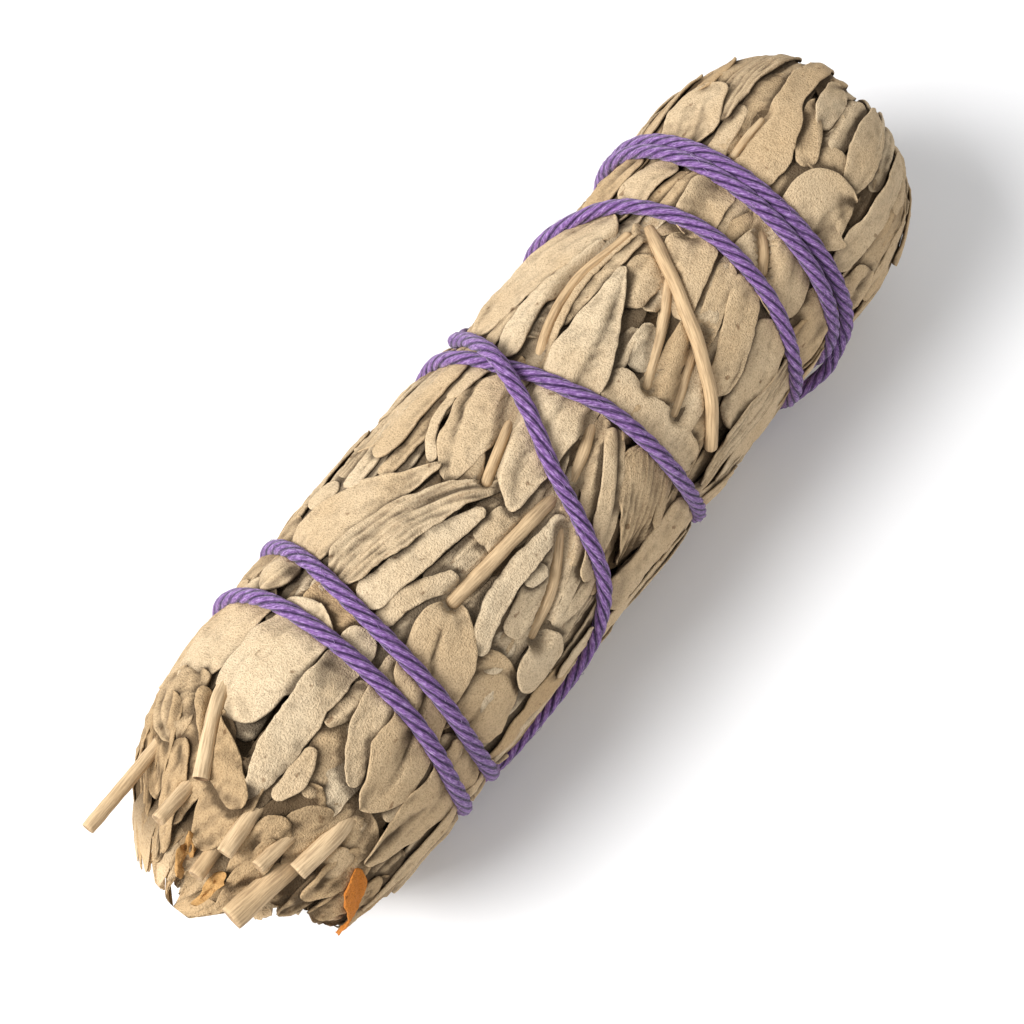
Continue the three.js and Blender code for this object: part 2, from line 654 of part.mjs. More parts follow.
const stems = [...BODY_STEMS, ...CUT_STEMS];
const leaves = [
  ...COLLAR_LEAVES,
  ...NEAR_END_LEAVES,
  ...FOLDED_LEAVES,
  ...BELLY_LEAVES,
  ...SHOULDER_LEAVES,
  ...TIP_LEAVES,
  ...ruleLeaves(),
  ...innerLeaves(),
  ...closingTips(),
];
const rooms = [
  ...threadGrooves(),
  ...stems.map(stemRoom),
  ...LOOSE_LEAVES.map(({ leaf }) => leafSolid(leaf, GAP)),
  ...SEAMS.map(seamWall),
];
const foliage = leaves
  .reduce((made, leaf) => made.add(leafSolid(leaf)), coreSolid())
  .intersect(aboveSurface);
const pieces = rooms.reduce((made, room) => made.subtract(room), foliage).decompose();

// The biggest piece on the ray at v, halfway out from the axis, is that sprig.
function pieceAt(v) {
  const probe = boxBetween(
    round(CENTRE_X, v, CORE_RADIUS / 2).addScalar(-0.4),
    round(CENTRE_X, v, CORE_RADIUS / 2).addScalar(0.4),
  );
  return pieces.find((piece) => piece.intersect(probe).volume() > 0);
}

for (const [name, v] of SPRIGS) place(name, pieceAt(v), sageLeaf);

for (const stem of stems) place(stem.name, stemSolid(stem), straw);

for (const { name, leaf } of LOOSE_LEAVES)
  place(name, leafSolid(leaf), name === "rust_leaf" ? rust : goldenLeaf);

place("binding_thread", threadSolid(), purpleCotton);

export default bunch;
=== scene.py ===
"""Dried white sage bunch, bound with purple cotton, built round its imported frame."""

import logging
import math
from dataclasses import dataclass, field, replace
from enum import Enum
from typing import Any, Callable, Iterator, Optional

import bpy
import numpy as np
from mathutils import Matrix, Vector

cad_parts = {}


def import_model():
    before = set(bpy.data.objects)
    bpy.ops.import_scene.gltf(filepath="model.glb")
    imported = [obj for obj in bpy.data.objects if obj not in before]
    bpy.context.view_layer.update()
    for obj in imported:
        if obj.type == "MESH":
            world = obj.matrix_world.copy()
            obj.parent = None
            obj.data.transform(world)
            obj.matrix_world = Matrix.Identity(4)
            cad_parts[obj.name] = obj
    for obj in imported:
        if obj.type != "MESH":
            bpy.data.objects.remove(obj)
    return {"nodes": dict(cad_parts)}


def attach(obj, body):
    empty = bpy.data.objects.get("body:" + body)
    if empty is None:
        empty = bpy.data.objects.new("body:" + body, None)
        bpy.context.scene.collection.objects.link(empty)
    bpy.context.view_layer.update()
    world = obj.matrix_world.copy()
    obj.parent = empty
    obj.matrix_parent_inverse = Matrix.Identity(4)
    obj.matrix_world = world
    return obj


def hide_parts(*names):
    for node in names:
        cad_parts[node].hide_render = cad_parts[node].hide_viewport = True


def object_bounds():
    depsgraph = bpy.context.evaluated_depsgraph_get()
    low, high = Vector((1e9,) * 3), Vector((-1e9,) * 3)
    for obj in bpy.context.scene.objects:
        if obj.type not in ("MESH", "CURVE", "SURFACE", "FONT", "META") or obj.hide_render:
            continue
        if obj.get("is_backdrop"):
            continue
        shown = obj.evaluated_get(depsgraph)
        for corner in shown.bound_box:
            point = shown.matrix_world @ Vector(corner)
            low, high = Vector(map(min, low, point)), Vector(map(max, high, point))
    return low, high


LOG = logging.getLogger("sage_bunch")
MM = 0.001
Station = tuple[float, float, float]
Colour = tuple[float, float, float]
Array = np.ndarray
Pair = tuple[Array, Array]
Generator = np.random.Generator
Material = bpy.types.Material
Object = bpy.types.Object


class Weave(Enum):
    """How the surface of a leaf is drawn."""

    FELT = 0.0
    RIBBED = 1.0


@dataclass(frozen=True)
class Roll:
    """The pressed roll of foliage: sizes in millimetres, and the map from leaf places to space.

    A place is s along the roll, v round it at arc_radius, and h above the pressed core.
    """

    arc_radius: float = 16.0
    core_radius: float = 14.4
    axis_height: float = 15.6
    centre_x: float = -2.1
    near_face: float = -52.0
    taper_start: float = -42.0
    dome_start: float = 41.0
    dome_arc: float = 19.0
    dome_length: float = 12.6
    dome_drop: float = 9.2
    top_left: float = -math.pi / 4
    box_low: tuple[float, float, float] = (-56.9, -17.4, 0.02)
    box_high: tuple[float, float, float] = (56.95, 16.85, 32.55)
    box_room: float = 0.5
    least_radius: float = 0.15
    taper_length: float = 10.0
    taper_drop: float = 1.2
    taper_lean: float = 2.4
    slant_start: float = -44.0
    slant_length: float = 8.0
    slant_side: float = 8.0
    near_slant: float = 3.2
    near_edge: float = 0.8
    near_reach: float = 6.8
    reach_side: float = 9.0
    sink_start: float = 55.5
    sink_length: float = 4.0
    end_sink: float = 1.0

    @property
    def turn(self) -> float:
        """Length once round the roll."""
        return 2 * math.pi * self.arc_radius

    def section(self, s: Array, v: Array) -> tuple[Array, ...]:
        """Gives the pressed core's profile.

        Args:
            s: places along the roll.
            v: places round it.

        Returns:
            x, radius, and the outward normal's x and radial parts.
        """
        s = np.asarray(s, float)
        angle = np.clip((s - self.dome_start) / self.dome_arc, 0, 1) * (np.pi / 2)
        normal_x = self.dome_drop * np.sin(angle)
        normal_r = self.dome_length * np.cos(angle)
        size = np.hypot(normal_x, normal_r)
        inward = np.maximum(0, s - self.dome_start - self.dome_arc)
        x = np.where(s > self.dome_start, self.dome_start + self.dome_length * np.sin(angle), s)
        radius = self.core_radius - self.dome_drop * (1 - np.cos(angle)) - inward
        taper = np.maximum(0, (self.taper_start - s) / self.taper_length)
        leftness = 0.5 + 0.5 * np.cos(v / self.arc_radius - self.top_left)
        radius = radius - taper**2 * (self.taper_drop + self.taper_lean * leftness)
        lower = (0.5 - 0.5 * np.cos((v + self.slant_side) / self.arc_radius)) ** 2
        past = np.clip((self.slant_start - s) / self.slant_length, 0, 1.4)
        x = x + self.near_slant * lower * past
        return x, radius, normal_x / size, normal_r / size

    def place(self, s: Array, v: Array, h: Array) -> Array:
        """Turns leaf places into points of the row frame, in millimetres.

        Args:
            s: places along the roll.
            v: places round it.
            h: heights above the pressed core.

        Returns:
            Points, with the last axis x, y, z.
        """
        x, radius, normal_x, normal_r = self.section(s, v)
        reach = np.maximum(radius + normal_r * h, self.least_radius)
        angle = v / self.arc_radius
        across, up = -reach * np.sin(angle), self.axis_height + reach * np.cos(angle)
        return self.in_box(np.stack([x + normal_x * h - self.centre_x, across, up], -1))

    def in_box(self, points: Array) -> Array:
        """Presses points that come near the frame's box softly inside it.

        Args:
            points: rows of x, y, z in millimetres.

        Returns:
            The points, all within the box.
        """
        low = np.array(self.box_low) + self.box_room
        high = np.array(self.box_high) - self.box_room
        over = np.maximum(points - high, 0) / self.box_room
        under = np.maximum(low - points, 0) / self.box_room
        return np.clip(points, low, high) + self.box_room * (np.tanh(over) - np.tanh(under))

    def from_end(self, across: Array, up: Array) -> Pair:
        """Turns places seen on the far end into places on the roll.

        Args:
            across: sideways from the end's middle, as seen.
            up: upwards from it.

        Returns:
            s and v.
        """
        radius = np.hypot(across, up)
        rim = self.core_radius - self.dome_drop
        cosine = np.clip(1 - (self.core_radius - radius) / self.dome_drop, 0, 1)
        s = np.where(
            radius < rim,
            self.dome_start + self.dome_arc + rim - radius,
            self.dome_start + self.dome_arc * np.arccos(cosine) / (math.pi / 2),
        )
        return s, self.arc_radius * np.arctan2(across, up)

    def polar(self, x: float, v: float, radius: float) -> Array:
        """Finds a point at a radius from the roll's axis.

        Args:
            x: place along the roll.
            v: place round it.
            radius: distance from the axis.

        Returns:
            The point in the row frame, in millimetres.
        """
        angle = v / self.arc_radius
        across, up = -radius * math.sin(angle), self.axis_height + radius * math.cos(angle)
        return np.array([x - self.centre_x, across, up])


ROLL = Roll()
LEAF_TOPS = (0.6, 0.9, 1.2, 1.5, 1.8)
UNDERLAY = -1
UNDERLAY_TOP = 0.1
UNDER_REACH = (0.5, 0.35, 0.25, 0.12, 0.0)


@dataclass(frozen=True)
class Bulge:
    """A soft rise or hollow of the roll round a place, in millimetres."""

    s: float
    v: float
    length: float
    width: float
    height: float


BULGES = (
    Bulge(-14, -20, 12, 7, 1.2),
    Bulge(24, -22, 14, 7, -0.5),
    Bulge(52, -14, 6, 12, 0.9),
    Bulge(50, 14, 6, 8, 0.3),
    Bulge(53, 5, 5, 10, 0.8),
    Bulge(-47, 24, 8, 8, -0.8),
    Bulge(-53, -9, 5, 7, -0.7),
    Bulge(-48.5, -24, 8, 9, -1.35),
)


def swell(s: Array, v: Array) -> Array:
    """How far the roll's leaves stand above or below their even height.

    Args:
        s: places along the roll.
        v: places round it.

    Returns:
        Heights in millimetres.
    """
    rise = 0.0 * s * v
    for bulge in BULGES:
        near = ((s - bulge.s) / bulge.length) ** 2 + (aside(v, bulge.v) / bulge.width) ** 2
        rise = rise + bulge.height * np.exp(-near)
    end = np.clip((s - ROLL.sink_start) / ROLL.sink_length, 0, 1)
    return rise - ROLL.end_sink * end * end * (3 - 2 * end)


def overhang(v: float) -> float:
    """How far leaves reach past the near face: far at the upper left, little below right."""
    side = 0.5 + 0.5 * math.cos((v + ROLL.reach_side) / ROLL.arc_radius)
    return ROLL.near_edge + (ROLL.near_reach - ROLL.near_edge) * side**1.5


def aside(v: Array, middle: Array) -> Array:
    """How far v lies from a middle, the short way round the roll."""
    return (v - middle + ROLL.turn / 2) % ROLL.turn - ROLL.turn / 2


def spline(points: Array, at: Array, knots: Array) -> Array:
    """Reads a smooth curve through points.

    Args:
        points: rows of values, one a knot.
        at: where to read.
        knots: rising knot values.

    Returns:
        One row of values for each place.
    """
    slopes = np.gradient(points, knots, axis=0)
    i = np.clip(np.searchsorted(knots, at, side="right") - 1, 0, len(knots) - 2)
    span = (knots[i + 1] - knots[i])[:, None]
    t = (at - knots[i])[:, None] / span
    return (
        (2 * t**3 - 3 * t**2 + 1) * points[i]
        + (t**3 - 2 * t**2 + t) * span * slopes[i]
        + (3 * t**2 - 2 * t**3) * points[i + 1]
        + (t**3 - t**2) * span * slopes[i + 1]
    )


def lengths_of(path: Array) -> Array:
    """Length along a line of points at each of them."""
    return np.concatenate([[0], np.cumsum(np.linalg.norm(np.diff(path, axis=0), axis=1))])


def knots_of(points: Array) -> Array:
    """Lengths along a line, as knots for a curve through its points, from their first two values."""
    legs = np.hypot(*np.diff(points[:, :2], axis=0).T)
    return np.concatenate([[0], np.cumsum(legs)])


class Ripple:
    """Smooth seeded noise on a plane, as a sum of waves."""

    def __init__(self, rng: Generator, wavelength: float, waves: int) -> None:
        """Draws the waves.

        Args:
            rng: seeded draw.
            wavelength: middle wavelength in millimetres.
            waves: how many.
        """
        angle = rng.uniform(0, 2 * math.pi, waves)
        size = 2 * math.pi / (wavelength * rng.uniform(0.6, 1.7, waves))
        self.kx = size * np.cos(angle)
        self.ky = size * np.sin(angle)
        self.phase = rng.uniform(0, 2 * math.pi, waves)

    def __call__(self, a: Array, b: Array) -> Array:
        """Noise of about -1 to 1 at the places."""
        wave = np.sin(a[..., None] * self.kx + b[..., None] * self.ky + self.phase)
        return wave.sum(-1) / math.sqrt(len(self.phase) * 1.4)


class Relief:
    """Height of what has been laid on the roll so far, on a grid of s and v."""

    S_LOW = -62.0
    LENGTH = 128.0
    OPEN = 9.0
    PRESS_CELLS = 14

    def __init__(self, start: float, step: float = 0.25) -> None:
        """Makes an even grid.

        Args:
            start: first height everywhere.
            step: cell size in millimetres.
        """
        self.step = step
        self.rows = int(self.LENGTH / step)
        self.columns = int(round(ROLL.turn / step))
        self.height = np.full((self.rows, self.columns), start)
        self.cap = np.full((self.rows, self.columns), self.OPEN)
        self.dip = np.zeros((self.rows, self.columns))

    def cells(self, s: Array, v: Array) -> Pair:
        """Finds places on the grid.

        Args:
            s: places along the roll.
            v: places round it.

        Returns:
            Row and column, with fractions.
        """
        row = np.clip((s - self.S_LOW) / self.step, 0, self.rows - 1.001)
        column = (v % ROLL.turn) / ROLL.turn * self.columns
        return row, column

    def read(self, grid: Array, s: Array, v: Array) -> Array:
        """Reads a grid between its cells.

        Args:
            grid: height, cap or dip.
            s: places along the roll.
            v: places round it.

        Returns:
            Values at the places.
        """
        row, column = self.cells(s, v)
        i, j = row.astype(int), column.astype(int) % self.columns
        a, b = row - i, column - np.floor(column)
        k = (j + 1) % self.columns
        return (grid[i, j] * (1 - b) + grid[i, k] * b) * (1 - a) + (
            grid[i + 1, j] * (1 - b) + grid[i + 1, k] * b
        ) * a

    def lay(self, s: Array, v: Array, h: Array) -> None:
        """Raises the heights to a surface.

        Args:
            s: close places along the roll.
            v: places round it.
            h: the surface's heights there.
        """
        row, column = self.cells(s, v)
        i = np.round(row).astype(int)
        j = np.round(column).astype(int) % self.columns
        np.maximum.at(self.height, (i.ravel(), j.ravel()), h.ravel())

    def press(
        self,
        path: Array,
        radius: float,
        soft: float,
        slope: float = 1.5,
        lowest: float = -9.0,
    ) -> None:
        """Keeps leaves below the middle of a round piece and lets them dip towards it.

        Args:
            path: close points of its middle, as s, v and height.
            radius: its radius.
            soft: depth of the gentle dip beside it.
            slope: how steeply leaves rise again beside it.
            lowest: depth that leaves are never pressed below.
        """
        offsets = np.arange(-self.PRESS_CELLS, self.PRESS_CELLS + 1)
        for s, v, h in path:
            row, column = self.cells(np.array(s), np.array(v))
            i = np.clip(int(round(float(row))) + offsets, 0, self.rows - 1)
            j = (int(round(float(column))) + offsets) % self.columns
            beside = (j[None, :] - float(column) + self.columns / 2) % self.columns
            d = np.hypot(
                (i[:, None] * self.step + self.S_LOW) - s,
                beside * self.step - self.columns / 2 * self.step,
            )
            inside = h - np.sqrt(np.maximum(radius**2 - d**2, 0)) * 0.9
            cap = np.where(d < radius, inside, h + (d - radius) * slope - 0.05)
            cap = np.maximum(cap, lowest)
            block = np.ix_(i, j)
            self.cap[block] = np.minimum(self.cap[block], cap)
            self.dip[block] = np.maximum(
                self.dip[block], soft * np.exp(-((d / (radius * 2.6)) ** 2))
            )

    def surroundings(self, reach: float) -> Array:
        """Finds the height around each place, to tell how far below it a place lies, for the painted
        shade.

        Args:
            reach: how far around, in millimetres.

        Returns:
            The heights after a local highest value and a blur.
        """
        grid = self.height.copy()
        n = max(1, round(reach / self.step))
        for _ in range(n):
            grid = np.maximum(grid, np.maximum(np.roll(grid, 1, 1), np.roll(grid, -1, 1)))
            inner = np.maximum(grid[:-2], grid[2:])
            grid[1:-1] = np.maximum(grid[1:-1], inner)
        for _ in range(n * 2):
            grid = (grid * 2 + np.roll(grid, 1, 1) + np.roll(grid, -1, 1)) / 4
            grid[1:-1] = (grid[1:-1] * 2 + grid[:-2] + grid[2:]) / 4
        return grid


@dataclass
class LeafSpec:
    """One leaf: its layer and its stations (s, v, width) from end to end.

    tilt lifts its +v edge, crown arches it, and weave draws its surface.
    """

    layer: int
    stations: list[Station]
    weave: Weave = Weave.FELT
    tilt: Optional[float] = None
    crown: Optional[float] = None
    tint: Optional[float] = None
    height: Optional[float] = None
    curl: float = 0.0
    crumple: float = 0.0
    across_end: bool = False
    shade: float = 0.0
    thickness: float = 0.36
    spacing: float = 0.4
    stretch: float = 1.0


def leaf(layer: int, *stations: Station, **traits: Any) -> LeafSpec:
    """Names a leaf in one line of a table."""
    return LeafSpec(layer, list(stations), **traits)


RIB = Weave.RIBBED

COLLAR = [
    leaf(3, (-43, -11.7, 1.8), (-40, -12.1, 6.6), (-35, -12.4, 7.2), (-29.5, -12.2, 6.2)),
    leaf(3, (-42.6, -1.8, 2.6), (-40, -3.9, 7), (-34, -4.7, 8), (-29.2, -4.4, 6.5)),
    leaf(4, (-48, 2.5, 0.8), (-45, 2.2, 3.2), (-39, 1.6, 3.8), (-28.5, 1.3, 4)),
    leaf(2, (-46.5, 4.5, 0.8), (-44.5, 4.9, 1.8), (-40.5, 4.4, 0.8)),
    leaf(1, (-44.5, 6.8, 1), (-42, 6.5, 3.2), (-39.5, 6, 4.4), (-36, 5.6, 2)),
    leaf(2, (-38.2, 3.8, 0.8), (-35.5, 4.4, 1.8), (-32.5, 4.2, 1.2)),
    leaf(3, (-41, 9.6, 1.2), (-38, 7.8, 2.7), (-33, 6.3, 3.2), (-28, 5.4, 2.6)),
    leaf(4, (-42, 11.7, 1.6), (-38, 12, 6), (-31, 10.3, 6.2), (-24, 7, 6.8), (-20.4, 5.7, 1)),
    leaf(2, (-30, 15.5, 7), (-24.3, 16, 9.5), (-22, 17.2, 5)),
    leaf(2, (-41, 14.4, 1), (-38, 15.5, 2.6), (-30, 15.8, 3)),
    leaf(3, (-45.3, 17, 1), (-41, 17.4, 4.5), (-35, 19, 7), (-29, 19.5, 8)),
    leaf(1, (-46.5, 16, 2), (-44.5, 14.7, 2.6), (-41.5, 13.7, 1.6)),
    leaf(1, (-49, 14.2, 1.5), (-47.3, 14.3, 3), (-45.3, 13.8, 1.8)),
    leaf(3, (-31, -12, 5), (-25.5, -12, 5)),
    leaf(1, (-31, -3, 7), (-25, -3, 7), tint=0.1),
    leaf(2, (-44, -18, 2), (-39, -18, 6), (-30, -17.5, 5)),
]

NEAR_END = [
    leaf(2, (-54, 1.4, 4.6), (-50, 1, 5.4), (-45, 0.5, 4)),
    leaf(3, (-56, -4, 2.6), (-52, -6, 3.6), (-47, -7, 3.4)),
    leaf(2, (-52.6, -9, 4), (-48, -11, 5), (-44, -12, 4)),
    leaf(3, (-47.6, -8, 5), (-44, -11.5, 7), (-41, -13.5, 5), tint=0.25),
    leaf(4, (-42.3, -8.6, 2.4), (-46, -3, 3.4), (-49, 2.8, 2.6)),
    leaf(1, (-55.4, 7.6, 1.6), (-52, 7, 2.8), (-47, 7, 3)),
    leaf(2, (-57.4, 10, 1), (-54, 8.4, 2.4), (-49, 8, 2.6)),
    leaf(2, (-52, 15, 2.6), (-48, 15.6, 4), (-44, 16.6, 4)),
    leaf(2, (-48.6, 20, 2.2), (-46.4, 23, 4.2), (-45, 27, 3)),
    leaf(1, (-51, -17, 3), (-46, -18, 5), (-42, -19, 4)),
    leaf(2, (-53, 20.5, 2), (-50, 20, 4), (-46, 20, 4)),
    leaf(3, (-45.2, 20.2, 3.4), (-48.4, 24, 2.7), (-52.8, 28.4, 0.7), crumple=0.06),
]
NEAR_CRUMPLE = 0.1
NEAR_TINT = 0.12
NEAR_SHADE = 0.16
NEAR_POINT = 0.55

FOLDED = [
    leaf(3, (-26, -11.8, 8), (-20, -9.9, 6.2), (-13.5, -5.7, 2.4), (-10.8, -4.2, 0.8)),
    leaf(4, (-26.5, -5, 4.6), (-21, -4.3, 5.2), (-12.5, -0.7, 3), (-8.2, 2.4, 0.9), weave=RIB),
    leaf(3, (-27, -1.2, 3.2), (-17, 0.8, 2.5), (-12, 2.2, 1)),
    leaf(2, (-27.5, 1.4, 2), (-24, 1.9, 1.8), (-19, 4.7, 1.6)),
    leaf(1, (-22, 3, 2.3), (-14.5, 3.9, 2)),
    leaf(1, (-15, 3.5, 2), (-10.3, 4.5, 2)),
    leaf(3, (-23.5, 10.8, 2), (-19, 9.1, 2.2), (-7, 8.9, 1.8)),
    leaf(2, (-19.7, 12.7, 2.4), (-13.2, 10.9, 2.6)),
    leaf(2, (-15, 10, 1.6), (-12, 10.6, 1.5)),
    leaf(1, (-24, 12.7, 3), (-19.5, 12.2, 3.2)),
    leaf(2, (-15.5, 15, 2.2), (-11, 13.9, 2.2), (-6.5, 11.8, 1.6)),
    leaf(2, (-15.5, 16, 1.2), (-11, 16.5, 1.2), (-8, 16, 1)),
    leaf(4, (-22.5, 17.5, 4), (-19, 17.3, 4.8), (-15.5, 17, 3.6)),
    leaf(1, (-18.5, 20, 4.6), (-9, 19, 4), weave=RIB),
    leaf(3, (-18, 22, 2), (-11.5, 22, 2.4)),
    leaf(2, (-21, -14.5, 3), (-17, -14.5, 3)),
    leaf(2, (-17.5, -12, 2.4), (-12.5, -12.5, 2.4)),
    leaf(3, (-13.3, -11.4, 2.4), (-6, -11.6, 2.6), (1, -11.7, 2.2)),
    leaf(2, (-14.8, -9.4, 1.6), (-4, -9.2, 1.8)),
    leaf(2, (-11, -5.3, 0.9), (-8.5, -7.7, 0.9), (-5.5, -8.9, 0.9), (-3.5, -8.9, 0.8)),
    leaf(1, (-13, -16, 5), (1, -16, 5)),
]

BELLY = [
    leaf(2, (-12, -2.6, 0.8), (-8.5, -3.8, 4.5), (-3, -5.3, 5.4), (1, -6.3, 4.6)),
    leaf(4, (-10.6, 4.4, 0.8), (-7, 2.6, 5), (0, 1.2, 7), (8, -0.5, 6.2), (18.3, -3.3, 0.8)),
    leaf(3, (3, -7.3, 3), (8, -8.7, 2.6), (20, -7.2, 1)),
    leaf(2, (3, -10.8, 1.6), (10, -10.4, 1.6), (19, -7.9, 1.4)),
    leaf(4, (4.5, -13.5, 3), (10, -14, 7), (16, -12.7, 7.5), (24, -9.5, 7)),
    leaf(2, (-4, -9.5, 2), (2, -9, 2)),
    leaf(1, (9.5, 4.5, 2.6), (15, 3.5, 2.4)),
    leaf(1, (15.5, 1.5, 1), (19.5, 1.5, 3)),
    leaf(0, (14.5, -0.8, 3), (21.3, -1.2, 3.5)),
    leaf(2, (4, -3.3, 1.1), (12, -5.8, 1.1), (17, -6, 1), (24, -5, 1)),
    leaf(1, (9, -4.8, 1), (17, -4.5, 1), (24, -4.3, 1)),
    leaf(3, (7.2, 2.8, 3.6), (6.6, 8, 4.6), (7, 13, 4.6), (7.6, 17, 3)),
    leaf(2, (-5.5, 18.7, 1), (0, 15.5, 6.6), (5, 11, 7), weave=RIB),
    leaf(2, (-10, 11, 1.4), (-5.5, 8.3, 1.4)),
    leaf(2, (-10, 13, 1.4), (-3, 9.4, 2), (3.5, 5.5, 1.6)),
    leaf(3, (-10, 15.5, 2.4), (-4, 12.4, 2.6), (3.3, 6.9, 2.2)),
    leaf(1, (-10, 18, 2.4), (-3, 13.4, 2)),
    leaf(2, (-9, 21.5, 3.6), (5.5, 21, 4)),
    leaf(1, (4, -18.5, 4), (20, -17.5, 5)),
]

SHOULDER = [
    leaf(3, (17, 5.4, 1), (21, 2.5, 4.2), (26, 0.3, 6)),
    leaf(2, (15.5, 8.6, 1.8), (25.5, 5.1, 2.2)),
    leaf(3, (14, 13.3, 2.6), (19, 11.2, 3.6), (26, 7.3, 3.4)),
    leaf(2, (13.5, 18, 4.6), (18, 16.3, 5.6), (25, 13.1, 5)),
    leaf(3, (7.5, 20.5, 1), (14, 19.7, 3.4), (25, 19.7, 3), weave=RIB),
    leaf(3, (25, -8.9, 4.2), (33, -8.4, 4.2)),
    leaf(2, (24, -14, 4), (33, -14, 4)),
    leaf(2, (25.5, -6.2, 1.4), (32, -5, 1.6)),
    leaf(3, (25.5, -4.4, 1.6), (32.5, -3.6, 1.8)),
    leaf(3, (25, -0.4, 4.6), (33, -1.3, 4.6)),
    leaf(1, (25, 3.8, 3), (33, 2.8, 3)),
    leaf(3, (25, 12.6, 6.6), (33, 9.8, 7)),
    leaf(2, (24, 18.6, 5.6), (33, 17.5, 6)),
]

TIPS = [
    leaf(3, (34.5, -8.5, 6.4), (39, -9.8, 7.2), (43.4, -12, 6)),
    leaf(2, (42, -13, 4.4), (45.5, -13.4, 4.4), (49, -14, 2), tint=0.1),
    leaf(2, (34, -17, 5), (40, -17.4, 5), (47, -18, 3.6)),
    leaf(2, (34.5, -4, 2), (42, -5, 1.4)),
    leaf(2, (39, -6, 1.5), (44, -7.5, 3), (49, -8, 3.6), (54.5, -8.4, 3), weave=RIB),
    leaf(1, (41, -3.8, 1.5), (46, -5, 2.5), (52, -5.8, 3), weave=RIB),
    leaf(4, (34, 1.1, 5), (40, 0.3, 5), (45, -1.3, 3), (50.5, -2.2, 3.6), (56, -3.2, 3)),
    leaf(3, (46.6, 0.8, 1.2), (43, 2.6, 2.6), (39.5, 4.8, 1.8)),
    leaf(2, (40, 4.6, 1.6), (42, 6.5, 3), (41.2, 10, 1)),
    leaf(4, (33.5, 10.2, 8.2), (38, 9.5, 8.8), (41.2, 11.6, 1.4)),
    leaf(3, (44, 3.4, 1.4), (47, 2.6, 3), (51, 1.8, 3.2)),
    leaf(1, (43, 6, 1.5), (47, 5.5, 2.8), (51.5, 5.2, 2.6)),
    leaf(3, (41, 10, 2), (45, 9.2, 4.4), (52.4, 7.6, 2)),
    leaf(2, (43.5, 12.2, 1.8), (49, 11.2, 3), (56, 10.4, 3)),
    leaf(3, (35, 15.2, 3.4), (42, 15, 3.2), (51, 14.4, 2.6)),
    leaf(1, (45, 17, 1.6), (50, 17, 2.6), (56, 16, 3)),
    leaf(3, (33.5, 19.8, 4.6), (39.4, 19.8, 4)),
    leaf(1, (40, 17.6, 1.6), (43.5, 17.9, 2.8), (47.8, 18.8, 1.6)),
    leaf(2, (38, 23.6, 3), (44, 22.8, 4.4), (51, 21.6, 3)),
]

HOLLOWS = ((15, 1.4), (-5.5, 16.8), (46.6, 0.7), (52, 5))

SEAMS: list[list[tuple[float, float]]] = [
    [(-60, -21), (60, -21)],
    [(-60, -9), (-18, -6.9), (-11.5, -4.4), (-5, -8.4), (8, -9.8), (20, -7.4), (60, -6.4)],
    [
        (-60, 3.8), (-32, 4), (-19, 4.9), (0, 4.8), (9, 2.4), (17, 5.5), (38.5, 3.8),
        (46, 0.8), (60, 0.4),
    ],
    [
        (-60, 12.8), (-34, 15), (-25, 11), (-17, 14.4), (-6, 18), (2, 10.5), (18, 13.4),
        (60, 12.4),
    ],
    [(-60, 35), (60, 35)],
    [(-60, 65), (60, 65)],
]
SPRIGS = (
    "sprig_top_left", "sprig_top", "sprig_top_right", "sprig_right", "sprig_base", "sprig_left",
)


def sprig_at(s: float, v: float) -> int:
    """Finds which sprig holds a place on the roll.

    Args:
        s: place along the roll.
        v: place round it.

    Returns:
        Its number in SPRIGS.
    """
    edges = [float(np.interp(s, *zip(*seam))) for seam in SEAMS]
    turned = (v - edges[0]) % ROLL.turn + edges[0]
    return int(np.searchsorted(edges, turned, side="right")) - 1


